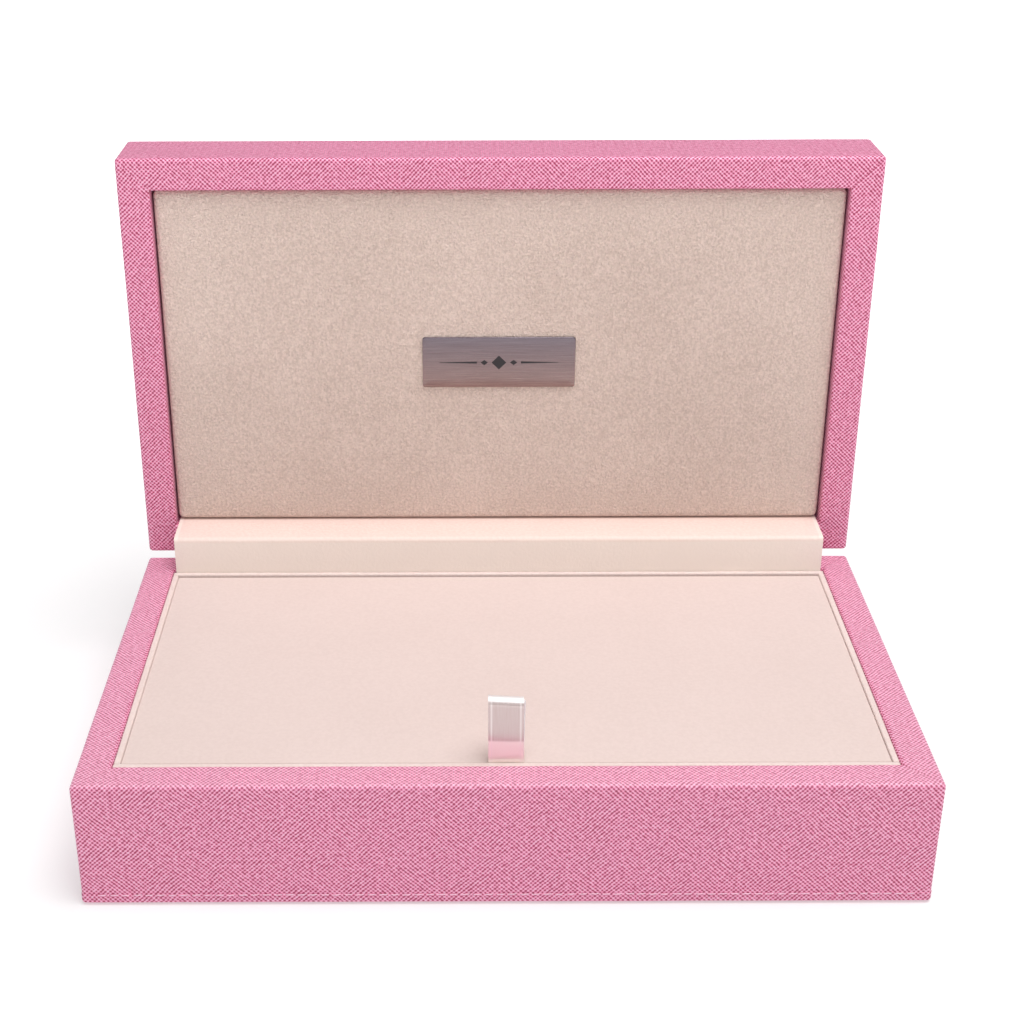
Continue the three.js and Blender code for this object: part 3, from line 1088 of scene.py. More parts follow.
@dataclass(frozen=True)
class Satin:
    """White satin ribbon with fine threads along its length and woven selvedges."""

    name: str = "blush_satin"
    slot: str = "satin"
    light: Colour = (0.68, 0.565, 0.55)
    dark: Colour = (0.61, 0.485, 0.47)
    # Painted reflection: lighter, pinker colour for the ribbon's foot.
    foot: Colour = (1.0, 0.91, 0.86)
    # Painted highlight: near-white colour for the crest of the loop.
    crest: Colour = (0.92, 0.88, 0.88)
    selvedge: Colour = (0.97, 0.88, 0.87)
    width: float = 9.9 * MM
    margin: float = 0.9 * MM
    foot_length: float = 16.9 * MM
    crest_start: float = 29.5 * MM

    def material(self) -> bpy.types.Material:
        """Makes the satin.

        Returns:
            The finished material.
        """
        made = Dressing(self.name, 0.2, 0.45)
        bench = made.bench
        place = made.place(True)
        threads = made.effect(brushing_effect(), Vector=place, Stretch=(5200.0, 90.0, 1.0))
        length = bench.part(place, 1)
        middle = bench.off(bench.part(place, 0), self.width / 2)
        line = bench.off(middle, self.width / 2 - self.margin)
        woven = bench.remap(line, (0.12 * MM, 0.3 * MM), (1.0, 0.0), smooth=True)
        tone = bench.colours(threads.outputs["Scratches"], self.dark, self.light)
        # Painted reflection: the foot is painted lighter and pinker, standing in for pink light from
        # the rim.
        painted_foot_reflection = bench.remap(length, (self.foot_length, self.foot_length + 0.9 * MM),
                            (1.0, 0.0), smooth=True)
        tone = bench.colours(painted_foot_reflection, tone, self.foot)
        # Painted highlight: the crest of the loop is painted near white; the same mask also roughens
        # it.
        over = bench.remap(length, (self.crest_start, self.crest_start + 0.8 * MM),
                           smooth=True)
        tone = bench.colours(over, tone, self.crest)
        made.put("Base Color", bench.colours(bench.math("MULTIPLY", woven, 0.6), tone,
                                             self.selvedge))
        rough = bench.remap(threads.outputs["Bands"], (0.0, 1.0), (0.17, 0.26))
        made.put("Roughness", bench.math("ADD", rough, bench.math("MULTIPLY", over, 0.3)))
        made.put("Sheen Weight", 0.3)
        made.put("Sheen Roughness", 0.3)
        made.bump(threads.outputs["Scratches"], 0.4, 0.06 * MM)
        return made.material


@dataclass(frozen=True)
class BrushedSteel:
    """Brushed metal of the plate and the hinges.

    Over the span of heights given, the metal carries a painted reflection: warmer and lighter at the
    bottom, cooler and darker at the top.
    """

    name: str
    slot: str
    light: Colour
    dark: Colour
    roughness: tuple[float, float] = (0.3, 0.42)
    stretch: tuple[float, float, float] = (60.0, 5200.0, 5200.0)
    reflection_span: tuple[float, float] | None = None

    def material(self) -> bpy.types.Material:
        """Makes the metal.

        Returns:
            The finished material.
        """
        made = Dressing(self.name, 0.35, 1.0)
        bench = made.bench
        place = made.place(False)
        brush = made.effect(brushing_effect(), Vector=place, Stretch=self.stretch)
        tone = bench.colours(brush.outputs["Scratches"], self.dark, self.light)
        tone = bench.colours(bench.math("MULTIPLY", brush.outputs["Bands"], 0.3), tone, self.light)
        # Painted reflection: warm and lighter low on the plate, cool and darker high on it.
        if self.reflection_span:
            up = bench.remap(bench.part(place, 2), self.reflection_span)
            painted_reflection = bench.colours(up, (1.18, 1.05, 0.90), (0.66, 0.68, 0.72))
            tone = bench.colours(1.0, tone, painted_reflection, "MULTIPLY")
        made.put("Base Color", tone)
        made.put("Roughness", bench.remap(brush.outputs["Scratches"], (0.0, 1.0), self.roughness))
        made.bump(brush.outputs["Scratches"], 0.25, 0.02 * MM)
        return made.material


@dataclass(frozen=True)
class Enamel:
    """Dark fill of the plate's engraved ornament."""

    name: str = "dark_enamel"
    slot: str = "plate_steel"
    tone: Colour = (0.012, 0.010, 0.012)

    def material(self) -> bpy.types.Material:
        """Makes the enamel.

        Returns:
            The finished material.
        """
        made = Dressing(self.name, 0.5)
        bench = made.bench
        grit = bench.noise(made.place(False), 4000.0, 2.0).outputs["Fac"]
        lighter = tuple(2.5 * part for part in self.tone)
        made.put("Base Color", bench.colours(grit, self.tone, lighter))
        made.bump(grit, 0.3, 0.02 * MM)
        return made.material


@dataclass(frozen=True)
class PressedFibre:
    """Fibreboard, foam and paper: a matt body with specks of fibre."""

    name: str
    slot: str
    light: Colour
    dark: Colour
    grain: float = 1200.0
    relief: float = 0.2 * MM

    def material(self) -> bpy.types.Material:
        """Makes the pressed fibre.

        Returns:
            The finished material.
        """
        made = Dressing(self.name, 0.85)
        bench = made.bench
        place = made.place(False)
        nap = made.effect(nap_effect(), Vector=place, Fibre_Scale=2.5 * self.grain,
                          Mottle_Scale=self.grain, Cloud_Scale=40.0, Mottle=1.0)
        wear = made.effect(wear_effect(), Vector=place, Scale=600.0, Amount=0.4)
        tone = bench.colours(nap.outputs["Mottle"], self.dark, self.light)
        made.put("Base Color", bench.colours(wear.outputs["Rub"], tone, self.light))
        made.put("Specular IOR Level", 0.25)
        made.bump(nap.outputs["Height"], 0.5, self.relief)
        return made.material


class Wardrobe:
    """All finishes of the box, each made once."""

    def __init__(self) -> None:
        """Makes every material."""
        plate = tuple(corner.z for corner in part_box("name_plate"))
        foot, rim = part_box("base_wrap")
        turned = RIM_WIDTH + rim.z - foot.z
        finishes = {
            "leatherette": Leatherette(),
            # The base's rim top carries a painted highlight.
            "rim_leatherette": Leatherette("pink_leatherette_base",
                                           rim=(turned - 0.8 * MM, turned + 9.0 * MM)),
            "card": NappedCloth("cream_card_velvet", "velvet_card", Pile.VELVET,
                                (0.84, 0.705, 0.665), (0.77, 0.62, 0.58)),
            "pad": NappedCloth("blush_pad_velvet", "pad_velvet", Pile.VELVET,
                               (0.77, 0.63, 0.59), (0.725, 0.585, 0.545)),
            "strip": NappedCloth("cream_strip_velvet", "strip_velvet", Pile.VELVET,
                                 (0.99, 0.785, 0.715), (0.93, 0.70, 0.63), True, 0.2178, 27.3 * MM),
            "suede": NappedCloth("beige_suede", "suede", Pile.SUEDE,
                                 (0.99, 0.80, 0.715), (0.72, 0.555, 0.48)),
            "satin": Satin(),
            "plate": BrushedSteel("brushed_plate", "plate_steel", (0.33, 0.27, 0.29),
                                  (0.20, 0.15, 0.165), (0.2, 0.3), reflection_span=plate),
            "hinge": BrushedSteel("hinge_steel", "hinge_steel", (0.66, 0.65, 0.64),
                                  (0.48, 0.47, 0.46)),
            "enamel": Enamel(),
            "thread": PressedFibre("pale_thread", "leatherette", (0.95, 0.66, 0.78),
                                   (0.88, 0.54, 0.68), 3000.0, 0.03 * MM),
            "board": PressedFibre("pressed_board", "fibreboard", (0.50, 0.38, 0.26),
                                  (0.36, 0.26, 0.17)),
            "foam": PressedFibre("padding_foam", "foam", (0.88, 0.86, 0.78),
                                 (0.74, 0.71, 0.62), 1600.0, 0.4 * MM),
            "paper": PressedFibre("underside_paper", "underside_paper", (0.72, 0.30, 0.43),
                                  (0.60, 0.22, 0.34), 1500.0, 0.1 * MM),
        }
        self.slots = {key: finish.slot for key, finish in finishes.items()}
        self.materials = {key: finish.material() for key, finish in finishes.items()}

    def dress(self, piece: bpy.types.Object, finish: str) -> bpy.types.Object:
        """Gives a piece its finish.

        Args:
            piece: the piece to dress.
            finish: name of its finish.

        Returns:
            The same piece.
        """
        piece.data.materials.clear()
        piece.data.materials.append(self.materials[finish])
        return piece


# --------------------------------------------------------------------------- the box


@dataclass
class TrayWrap:
    """The leatherette of one tray: outside, rim and the skin turned down inside.

    The tray's own frame has the middle of its rim at the origin and its body below.
    """

    node: str
    body: str
    leaves: tuple[str, str]
    closed_end: bool
    finish: str
    rim_width: float = RIM_WIDTH
    thickness: float = 0.8 * MM
    edge_radius: float = 1.3 * MM
    inner_radius: float = 0.8 * MM
    foot_radius: float = 0.7 * MM
    cut_radius: float = 0.25 * MM
    turn_in: float = 14 * MM
    board_run: float = 12 * MM
    hem_height: float = 2.9 * MM
    hem_step: float = 0.16 * MM
    mortise_gap: float = 0.3 * MM
    mitre_depth: float = 0.12 * MM
    unevenness: float = 0.07 * MM
    crease: float = 50.0

    def place(self) -> tuple[Matrix, float, float, float]:
        """The tray frame's place, half sizes and height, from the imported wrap.

        Returns:
            The frame's place, its half width, its half depth and its height.
        """
        low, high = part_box(self.node)
        half_width = (high.x - low.x) / 2
        if self.closed_end:
            turned = Matrix(((-1, 0, 0, 0), (0, 0, -1, low.y),
                             (0, -1, 0, (low.z + high.z) / 2), (0, 0, 0, 1)))
            return turned, half_width, (high.z - low.z) / 2, high.y - low.y
        return Matrix.Translation((0, 0, high.z)), half_width, (high.y - low.y) / 2, high.z - low.z

    def section(self, height: float) -> Outline:
        """Outline of the leatherette across one wall, as insets and heights.

        Args:
            height: height of the tray.

        Returns:
            The outline, from inside the foot to inside the rim.
        """
        rim, skin, bottom = self.rim_width, self.thickness, -height
        top = [(rim, 0, self.inner_radius), (rim, -self.turn_in, self.cut_radius),
               (rim - skin, -self.turn_in, self.cut_radius), (rim - skin, -skin, 0)]
        if self.closed_end:
            corners = [(self.board_run, bottom, 0), (0, bottom, self.edge_radius),
                       (0, 0, self.edge_radius), *top, (skin, -skin, 0),
                       (skin, bottom + skin, 0), (self.board_run, bottom + skin, 0)]
            return fillet(corners, False)
        lap = bottom + self.hem_height
        corners = [(rim, bottom, 0.3 * MM), (0, bottom, self.foot_radius),
                   (0, lap, 0.1 * MM), (self.hem_step, lap + 0.12 * MM, 0),
                   (self.hem_step, 0, self.edge_radius), *top,
                   (skin + self.hem_step, -skin, 0), (skin + self.hem_step, bottom + skin, 0),
                   (rim, bottom + skin, 0)]
        return fillet(corners, True)

    def mortises(self, place: Matrix, half_depth: float) -> list[bpy.types.Object]:
        """Blocks that let the two hinge leaves into the rim.

        Args:
            place: place of the tray frame.
            half_depth: half the tray's depth.

        Returns:
            The blocks to cut away.
        """
        cutters = []
        back = place.inverted()
        for leaf in self.leaves:
            ends = [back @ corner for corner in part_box(leaf)]
            gap = self.mortise_gap
            low = Vector((min(end.x for end in ends) - gap, min(end.y for end in ends) - gap,
                          -self.thickness - 0.1 * MM))
            high = Vector((max(end.x for end in ends) + gap, half_depth + 5 * MM, 5 * MM))
            cutters.append(make_piece(f"{leaf}_mortise",
                                      rounded_slab(low, high, 0.15 * MM, 50 * MM, 1)))
        return cutters

    def build(self, wardrobe: Wardrobe) -> bpy.types.Object:
        """Builds and dresses the wrap.

        Args:
            wardrobe: gives the pieces their finishes.

        Returns:
            The dressed piece, in the scene.
        """
        place, half_width, half_depth, height = self.place()
        sweep = RectangleSweep(half_width, half_depth, self.edge_radius, self.section(height),
                               not self.closed_end, capped=self.closed_end,
                               mitre_depth=self.mitre_depth)
        built = sweep.build()
        undulate(built, self.unevenness, 24 * MM, 3.1)
        piece = make_piece(f"{self.body}_leatherette", built, self.crease)
        for cutter in self.mortises(place, half_depth):
            cut = piece.modifiers.new("mortise", "BOOLEAN")
            cut.object = cutter
            cut.solver = "EXACT"
            settle(piece)
            bpy.data.objects.remove(cutter)
        piece.data.transform(place)
        piece.data.set_sharp_from_angle(angle=math.radians(self.crease))
        weighted = piece.modifiers.new("even shading", "WEIGHTED_NORMAL")
        weighted.keep_sharp = True
        wardrobe.dress(piece, self.finish)
        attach(piece, self.body)
        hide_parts(self.node)
        return piece


@dataclass
class HemStitching:
    """Row of stitches through the hem round the foot of the base."""

    node: str = "base_wrap"
    height: float = 2.9 * MM
    pitch: float = 3.3 * MM
    length: float = 2.5 * MM
    thread: float = 0.15 * MM
    lift: float = 0.13 * MM
    dip: float = 0.22 * MM
    drift: float = 0.15 * MM
    slope: float = 0.06
    corner_margin: float = 4 * MM
    rings: int = 6
    sides: int = 6

    def stitch(self, built: bmesh.types.BMesh, middle: Vector, along: Vector,
               out: Vector) -> None:
        """Adds one stitch that dips into the leatherette at both ends.

        Args:
            built: the mesh it is added to.
            middle: middle of the stitch.
            along: direction of the thread.
            out: direction away from the wall.
        """
        loops = []
        for ring in range(self.rings + 1):
            share = 2 * ring / self.rings - 1
            centre = middle + along * (share * self.length / 2)
            centre += out * (self.lift - self.dip * share ** 4)
            radius = self.thread * math.sqrt(max(0.08, 1 - share ** 4))
            loop = []
            for side in range(self.sides):
                angle = math.tau * side / self.sides
                loop.append(built.verts.new(
                    centre + out * (radius * math.cos(angle))
                    + along.cross(out) * (radius * math.sin(angle))))
            loops.append(loop)
        for here, there in zip(loops, loops[1:]):
            for side in range(self.sides):
                over = (side + 1) % self.sides
                built.faces.new([here[side], here[over], there[over], there[side]])
        built.faces.new(loops[0])
        built.faces.new(loops[-1])

    def build(self, wardrobe: "Wardrobe") -> bpy.types.Object:
        """Builds and dresses the stitching.

        Args:
            wardrobe: gives the pieces their finishes.

        Returns:
            The dressed piece, in the scene.
        """
        low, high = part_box(self.node)
        half = {Side.FRONT: (high.x - low.x) / 2, Side.RIGHT: (high.y - low.y) / 2}
        half[Side.BACK], half[Side.LEFT] = half[Side.FRONT], half[Side.RIGHT]
        built = bmesh.new()
        for side in Side:
            turn = Matrix.Rotation(math.pi / 2 * side.value, 3, "Z")
            run = half[side] - self.corner_margin
            depth = half[Side((side.value + 1) % 4)]
            count = int(2 * run / self.pitch)
            for index in range(count):
                drift = noise.noise(Vector((index * 0.7, side.value, 0.3))) * self.drift
                x = (index + 0.5 - count / 2) * self.pitch + drift
                middle = Vector((x, -depth, low.z + self.height + drift))
                along = Vector((1, 0, self.slope)).normalized()
                self.stitch(built, turn @ middle, turn @ along, turn @ Vector((0, -1, 0)))
        piece = make_piece("hem_stitching", built, 60)
        wardrobe.dress(piece, "thread")
        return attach(piece, "base")


@dataclass
class CardLining:
    """Velvet-covered cards: four liners, four ledges and the floor of the compartment."""

    radius: float = 0.45 * MM
    step: float = 5 * MM
    unevenness: float = 0.06 * MM

    def build(self, wardrobe: Wardrobe) -> list[bpy.types.Object]:
        """Builds and dresses every card.

        Args:
            wardrobe: gives the pieces their finishes.

        Returns:
            The dressed cards.
        """
        made = []
        sides = [side.name.lower() for side in Side]
        nodes = [f"liner_{side}" for side in sides] + [f"ledge_{side}" for side in sides]
        for seed, node in enumerate([*nodes, "compartment_floor"]):
            low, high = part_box(node)
            thinnest = min(high - low)
            radius = min(self.radius, 0.45 * thinnest)
            built = rounded_slab(low, high, radius, self.step)
            undulate(built, self.unevenness, 16 * MM, seed + 0.7)
            piece = make_piece(f"{node}_card", built, 80)
            wardrobe.dress(piece, "card")
            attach(piece, "base")
            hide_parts(node)
            made.append(piece)
        return made


@dataclass
class PaddedInsert:
    """A board and foam in a cloth cover that is turned in behind.

    The cover is built flat and a little small, then blown up as cloth over its foam.
    """

    name: str
    cover: str
    foam: str
    body: str
    finish: str
    face: Vector
    radius: float
    fill: float
    shrink: float
    swell: float = 0.55 * MM
    low_share: float = 0.3
    pressure: float = 5.0
    held_margin: float = 0.3 * MM
    hem: float = 12 * MM
    hem_depth: float = 1.1 * MM
    step: float = 4 * MM

    def build(self, wardrobe: Wardrobe) -> bpy.types.Object:
        """Builds and dresses the insert.

        Args:
            wardrobe: gives the pieces their finishes.

        Returns:
            The dressed piece, in the scene.
        """
        low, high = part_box(self.cover)
        axis = max(range(3), key=lambda at: abs(self.face[at]))
        shrink = Vector([0.0 if at == axis else self.shrink for at in range(3)])
        low, high = low + shrink, high - shrink
        front = high if self.face[axis] > 0 else low
        front[axis] -= self.low_share * self.swell * self.face[axis]
        back = low[axis] if self.face[axis] > 0 else high[axis]
        built = rounded_slab(low, high, self.radius, self.step, 4, self.hem, axis)
        piece = make_piece(self.name, built, 80)
        others = [at for at in range(3) if at != axis]

        def glued(place: Vector) -> bool:
            """Tells whether the cloth is held there: all round the sides and their edge.

            Args:
                place: a point of the cover.

            Returns:
                True where the cloth doesn't move.
            """
            inside = min(min(place[at] - low[at], high[at] - place[at]) for at in others)
            return (abs(place[axis] - front[axis]) > 0.05 * MM
                    or inside < self.radius + self.held_margin)

        puff(piece, self.pressure, self.swell, glued)
        self.recess(piece, axis, back, low, high)
        subdivide(piece)
        wardrobe.dress(piece, self.finish)
        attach(piece, self.body)
        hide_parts(self.cover, self.foam)
        return piece

    def recess(self, piece: bpy.types.Object, axis: int, back: float, low: Vector,
               high: Vector) -> None:
        """Leaves the board bare behind, inside the turned-in hem.

        Args:
            piece: the cover.
            axis: the axis that the cover faces along.
            back: where its back lies on that axis.
            low: low corner of its box.
            high: high corner of its box.
        """
        others = [at for at in range(3) if at != axis]
        for vert in piece.data.vertices:
            inside = min(min(vert.co[at] - low[at], high[at] - vert.co[at]) for at in others)
            behind = abs(vert.co[axis] - back) < self.held_margin
            if behind and inside > self.hem + self.held_margin:
                vert.co[axis] += self.hem_depth * self.face[axis]


@dataclass
class BridgingStrip:
    """Velvet strip from the base's back wall over a soft fold to the lid's panel."""

    node: str = "hinge_strip"
    thickness: float = 0.8 * MM
    fold: float = 1.1 * MM
    columns: int = 110
    ripple: float = 0.22 * MM
    broad_wave: float = 26 * MM
    fine_wave: float = 7 * MM
    give: float = 16 * MM

    def path(self) -> list[Vector]:
        """Points along the strip, at its middle surface, in the YZ plane.

        Returns:
            The points, from the compartment up to the lid.
        """
        low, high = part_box(self.node)
        half = self.thickness / 2
        corners = [(low.y + half, low.z, 0), (low.y + half, high.z - half, self.fold - half),
                   (high.y, high.z - half, 0)]
        return [Vector((0, y, z)) for y, z in fillet(corners, False, 10, 1.2 * MM)]

    def build(self, wardrobe: Wardrobe) -> bpy.types.Object:
        """Args:
            wardrobe: gives the pieces their finishes.

        Returns:
            The dressed piece, in the scene.
        """
        low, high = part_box(self.node)
        path = self.path()
        rows = []
        for index, point in enumerate(path):
            share = index / (len(path) - 1)
            loose = math.sin(math.pi * min(1.0, share * 1.15)) ** 2
            row = []
            for column in range(self.columns + 1):
                x = low.x + (high.x - low.x) * column / self.columns
                wave = noise.noise(Vector((x / self.broad_wave, share * 2.2, 4.5)))
                fine = noise.noise(Vector((x / self.fine_wave, share * 5.0, 9.1)))
                push = loose * self.ripple * (wave + 0.3 * fine - 0.35)
                row.append(point + Vector((x, -push * (1 - share), push * share)))
            rows.append(row)
        built = thick_sheet(rows, lambda column: self.thickness)
        piece = make_piece("bridging_strip", built, 70)
        wardrobe.dress(piece, "strip")
        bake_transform(piece)
        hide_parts(self.node)
        return piece


@dataclass
class PullRibbon:
    """Satin ribbon doubled into a loop at the pad's front edge."""

    node: str = "pull_ribbon"
    thickness: float = 0.3 * MM
    fold: float = 2.2 * MM
    selvedge: float = 0.7 * MM
    skew: float = 0.6 * MM
    slant: float = 0.6 * MM
    inset: float = 0.3 * MM
    bulge: float = 3 * MM
    flattened: float = 0.15
    columns: int = 26

    def build(self, wardrobe: Wardrobe) -> bpy.types.Object:
        """Args:
            wardrobe: gives the pieces their finishes.

        Returns:
            The dressed piece, in the scene.
        """
        low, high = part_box(self.node)
        pad_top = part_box("pad_cover")[1].z
        half = self.thickness / 2
        front, back = low.y + half, low.y + 3 * half
        corners = [(front, low.z, 0), (front, high.z - self.thickness, self.fold - half),
                   (high.y - half, high.z - half - 1e-5, self.fold - half),
                   (high.y - half - 0.2 * MM, high.z - 2 * self.bulge, self.bulge),
                   (back + 0.05 * MM, pad_top, self.bulge), (back, low.z, 0)]
        path = fillet(corners, False, 8, 1.0 * MM)
        width = high.x - low.x - 3 * self.inset
        rows = []
        for index, (y, z) in enumerate(path):
            share = index / (len(path) - 1)
            free = max(0.0, min(1.0, (z - pad_top) / (high.z - pad_top)))
            shift = self.skew * free * (1 if share > 0.5 else -0.15)
            row = []
            for column in range(self.columns + 1):
                across = 2 * column / self.columns - 1
                x = low.x + self.inset + width * column / self.columns + shift
                wave = noise.noise(Vector((across * 0.8, z / (9 * MM), 2.0)))
                bow = free * (1 - free) * (0.5 * across * across + 0.7 * wave) * MM
                row.append(Vector((x, y + bow, z - self.slant * free * column / self.columns)))
            rows.append(row)

        def weight(column: int) -> float:
            """Thickness of the ribbon, more at its selvedges.

            Args:
                column: column of the weave.

            Returns:
                The thickness there.
            """
            pitch = (high.x - low.x) / self.columns
            edge = min(column, self.columns - column) * pitch
            woven = self.inset < edge < self.selvedge + pitch
            return self.thickness * (1.35 if woven else 0.85)

        built = thick_sheet(rows, weight)
        piece = make_piece("lifting_ribbon", built, 60)
        wardrobe.dress(piece, "satin")
        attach(piece, "pad")
        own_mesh(piece)
        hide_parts(self.node)
        return piece


@dataclass
class NamePlate:
    """Bevelled steel plate on the panel, with a plain engraved ornament and no words."""

    node: str = "name_plate"
    corner_radius: float = 0.9 * MM
    bevel: float = 0.28 * MM
    bevel_run: float = 3 * MM
    inlay: tuple[float, float] = (-0.3 * MM, 0.03 * MM)

    def build(self, wardrobe: Wardrobe) -> list[bpy.types.Object]:
        """Builds and dresses the plate and its ornament.

        Args:
            wardrobe: gives the pieces their finishes.

        Returns:
            The plate and its ornament.
        """
        low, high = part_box(self.node)
        half_width, half_height = (high.x - low.x) / 2, (high.z - low.z) / 2
        depth = high.y - low.y
        corners = [(self.bevel_run, -depth, 0), (0, -depth, 0.05 * MM), (0, 0, self.bevel),
                   (self.bevel_run, 0, 0)]
        section = fillet(corners, False, 4, self.bevel_run)
        built = RectangleSweep(half_width, half_height, self.corner_radius, section, False,
                               capped=True, step=4 * MM).build()
        stand = Matrix(((1, 0, 0, 0), (0, 0, -1, low.y),
                        (0, 1, 0, (low.z + high.z) / 2), (0, 0, 0, 1)))
        built.transform(stand)
        plate = make_piece("steel_plate", built, 50)
        wardrobe.dress(plate, "plate")
        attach(plate, "lid")
        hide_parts(self.node)
        ornament = self.ornament(stand)
        wardrobe.dress(ornament, "enamel")
        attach(ornament, "lid")
        return [plate, ornament]

    def ornament(self, stand: Matrix) -> bpy.types.Object:
        """A lozenge between tapering rules, let into the plate.

        Args:
            stand: the plate's place and slant.

        Returns:
            The ornament.
        """
        built = bmesh.new()
        figures = [[(-2.4, 0), (0, -2.4), (2.4, 0), (0, 2.4)]]
        for side in (-1, 1):
            figures.append([(side * 3.6, 0), (side * 4.8, -0.9), (side * 6.0, 0),
                            (side * 4.8, 0.9)])
            figures.append([(side * 7.2, -0.36), (side * 19.5, -0.07), (side * 19.5, 0.07),
                            (side * 7.2, 0.36)])
        for figure in figures:
            loops = [[built.verts.new((x * MM, y * MM, z)) for x, y in figure]
                     for z in self.inlay]
            count = len(figure)
            built.faces.new(loops[0])
            built.faces.new(loops[1])
            for at in range(count):
                built.faces.new([loops[0][at], loops[0][(at + 1) % count],
                                 loops[1][(at + 1) % count], loops[1][at]])
        built.transform(stand)
        return make_piece("plate_ornament", built, 20)


@dataclass
class Hardware:
    """Hinges and hidden pieces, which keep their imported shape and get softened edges."""

    edge: float = 0.12 * MM
    join: float = 1e-6
    crease: float = 35.0

    def build(self, wardrobe: Wardrobe) -> list[bpy.types.Object]:
        """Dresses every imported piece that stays.

        Args:
            wardrobe: gives the pieces their finishes.

        Returns:
            The dressed pieces.
        """
        finishes = {"hinge": "hinge", "board": "board", "wall": "board", "batten": "board",
                    "underside": "paper"}
        dressed = []
        for name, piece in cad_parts.items():
            word = next((key for key in finishes if key in name), None)
            if piece.hide_render or word is None:
                continue
            wardrobe.dress(piece, finishes[word])
            if "custom_normal" in piece.data.attributes:
                piece.data.attributes.remove(piece.data.attributes["custom_normal"])
            piece.data.shade_smooth()
            join = piece.modifiers.new("joined edges", "WELD")
            join.merge_threshold = self.join
            soften = piece.modifiers.new("softened edges", "BEVEL")
            soften.width = self.edge
            soften.segments = 2
            soften.limit_method = "ANGLE"
            soften.angle_limit = math.radians(self.crease)
            piece.modifiers.new("even shading", "WEIGHTED_NORMAL")
            dressed.append(piece)
        return dressed


# ------------------------------------------------------------------------------ the studio


@dataclass(frozen=True)
class Softbox:
    """One square soft light: its place, its size and its power in watts."""

    name: str
    place: tuple[float, float, float]
    size: float
    watts: float


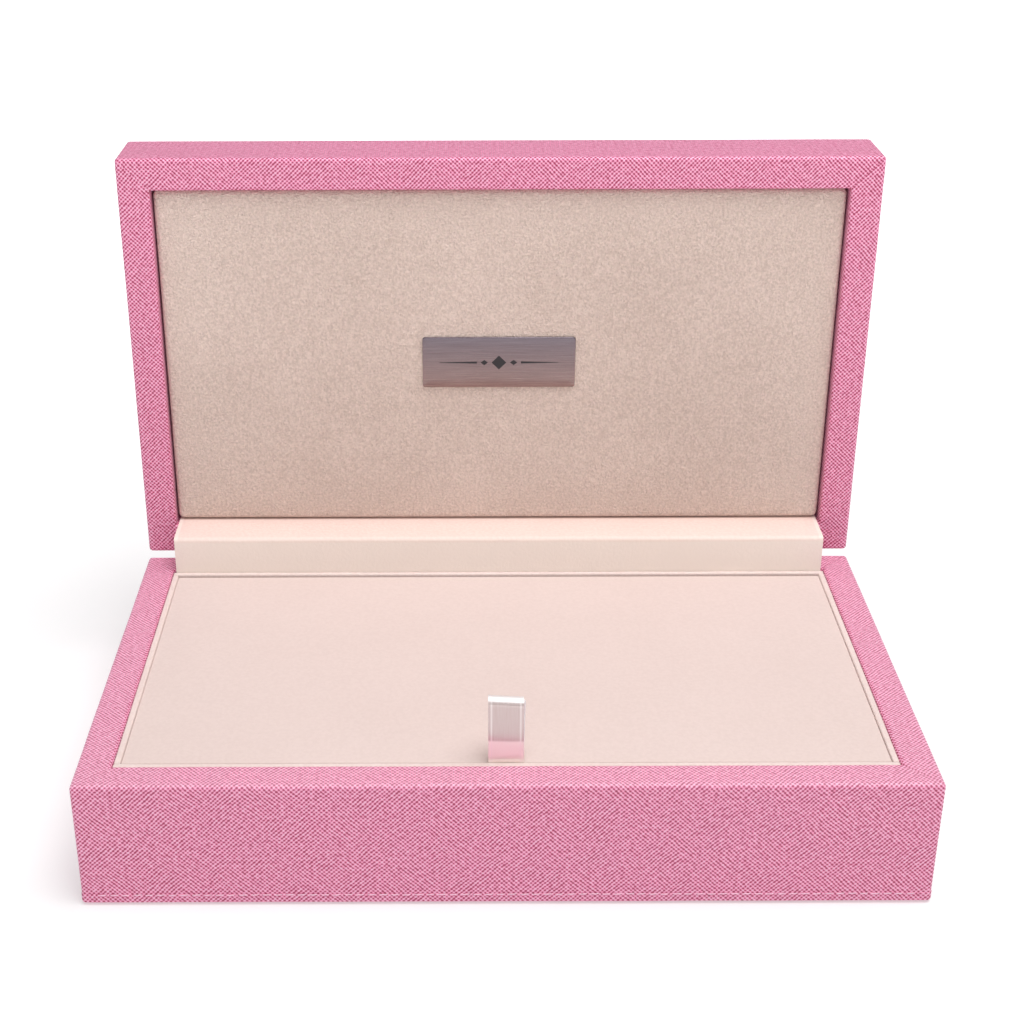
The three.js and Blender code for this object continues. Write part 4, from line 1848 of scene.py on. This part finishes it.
@dataclass
class Studio:
    """Pale floor, soft lights and the camera.

    The floor glows a little, more so further out, so that it stays pale without hard shadows.
    """

    lens: float = 61.62
    sensor: float = 36.0
    eye: tuple[float, float, float] = (-0.01209, -0.4598, 0.31363)
    pitch: float = 0.4473
    yaw: float = -0.001
    roll: float = -0.0034
    shift: tuple[float, float] = (0.0437, -0.0026)
    clip_start: float = 0.01
    floor_size: float = 30.0
    floor_drop: float = 0.0001
    glow_reach: tuple[float, float] = (0.08, 0.7)
    glow: tuple[float, float] = (0.40, 0.95)
    room_light: float = 0.32
    aim: tuple[float, float, float] = (0, 0, 0.05)
    softboxes: tuple[Softbox, ...] = (
        Softbox("overhead softbox", (0.28, -0.22, 1.5), 1.0, 20.5),
        Softbox("front softbox", (-0.4, -1.5, 0.8), 1.2, 3.0),
    )

    def camera(self) -> bpy.types.Object:
        """Sets the camera up in front of the box, looking down into it.

        Returns:
            The camera.
        """
        data = bpy.data.cameras.new("viewer")
        data.lens = self.lens
        data.sensor_width = self.sensor
        data.shift_x, data.shift_y = self.shift
        data.clip_start = self.clip_start
        viewer = bpy.data.objects.new("viewer", data)
        ahead = Vector((math.sin(self.yaw) * math.cos(self.pitch),
                        math.cos(self.yaw) * math.cos(self.pitch), -math.sin(self.pitch)))
        right = Vector((math.cos(self.yaw), -math.sin(self.yaw), 0))
        up = right.cross(ahead)
        tilted = math.cos(self.roll) * right + math.sin(self.roll) * up
        upright = tilted.cross(ahead)
        turn = Matrix((tilted, upright, -ahead)).transposed().to_4x4()
        viewer.matrix_world = Matrix.Translation(self.eye) @ turn
        bpy.context.scene.collection.objects.link(viewer)
        bpy.context.scene.camera = viewer
        return viewer

    def floor(self) -> bpy.types.Object:
        """Lays the pale floor under the box.

        Returns:
            The floor.
        """
        built = bmesh.new()
        bmesh.ops.create_grid(built, x_segments=2, y_segments=2, size=self.floor_size / 2)
        piece = make_piece("floor", built)
        piece.location.z = -self.floor_drop
        made = Dressing("pale_floor", 0.9)
        speck = made.bench.noise(made.place(False), 60.0, 2.0).outputs["Fac"]
        made.put("Base Color", made.bench.colours(speck, (0.60, 0.60, 0.60), (0.62, 0.62, 0.62)))
        made.put("Specular IOR Level", 0.0)
        far = made.bench.vector("LENGTH", made.place(False))
        glow = made.bench.remap(far, self.glow_reach, self.glow, smooth=True)
        made.put("Emission Color", made.bench.colours(glow, (0.0, 0.0, 0.0), (1.0, 1.0, 1.0)))
        made.put("Emission Strength", 1.0)
        piece.data.materials.append(made.material)
        return piece

    def lamp(self, softbox: Softbox) -> bpy.types.Object:
        """Hangs a square softbox that faces the box.

        Args:
            softbox: the light to hang.

        Returns:
            The light.
        """
        data = bpy.data.lights.new(softbox.name, "AREA")
        data.size = softbox.size
        data.energy = softbox.watts
        made = bpy.data.objects.new(softbox.name, data)
        made.location = softbox.place
        ahead = Vector(self.aim) - made.location
        made.rotation_euler = ahead.to_track_quat("-Z", "Y").to_euler()
        bpy.context.scene.collection.objects.link(made)
        return made

    def world(self) -> None:
        """Fills the room with even white light."""
        room = bpy.data.worlds.new("white room")
        room.use_nodes = True
        back = room.node_tree.nodes["Background"]
        back.inputs["Color"].default_value = (1.0, 1.0, 1.0, 1.0)
        back.inputs["Strength"].default_value = self.room_light
        bpy.context.scene.world = room

    def build(self) -> None:
        """Sets the whole studio up."""
        bpy.context.scene.view_settings.view_transform = "Standard"
        self.camera()
        self.floor()
        self.world()
        for softbox in self.softboxes:
            self.lamp(softbox)


def report(label: str, pieces: Sequence[bpy.types.Object]) -> None:
    """Logs what a sub-assembly made."""
    for piece in pieces:
        LOG.info("%s: %s, %d faces", label, piece.name, len(piece.data.polygons))


def main() -> None:
    """Builds the box in order."""
    logging.basicConfig(level=logging.INFO, format="%(name)s %(message)s")
    Studio().build()
    wardrobe = Wardrobe()
    wraps = [
        TrayWrap("base_wrap", "base", ("base_hinge_leaf_left", "base_hinge_leaf_right"), False,
                 "rim_leatherette"),
        TrayWrap("lid_wrap", "lid", ("lid_hinge_leaf_left", "lid_hinge_leaf_right"), True,
                 "leatherette"),
    ]
    report("wrap", [wrap.build(wardrobe) for wrap in wraps])
    report("stitching", [HemStitching().build(wardrobe)])
    report("lining", CardLining().build(wardrobe))
    inserts = [
        PaddedInsert("velvet_pad", "pad_cover", "pad_foam", "pad", "pad", Vector((0, 0, 1)),
                     0.35 * MM, 0.7, -0.2 * MM),
        PaddedInsert("suede_panel", "panel_cover", "panel_foam", "lid", "suede",
                     Vector((0, -1, 0)), 2.0 * MM, 0.8, 0.1 * MM),
    ]
    report("padding", [insert.build(wardrobe) for insert in inserts])
    report("strip", [BridgingStrip().build(wardrobe)])
    report("ribbon", [PullRibbon().build(wardrobe)])
    report("plate", NamePlate().build(wardrobe))
    report("hardware", Hardware().build(wardrobe))


if __name__ == "__main__":
    main()
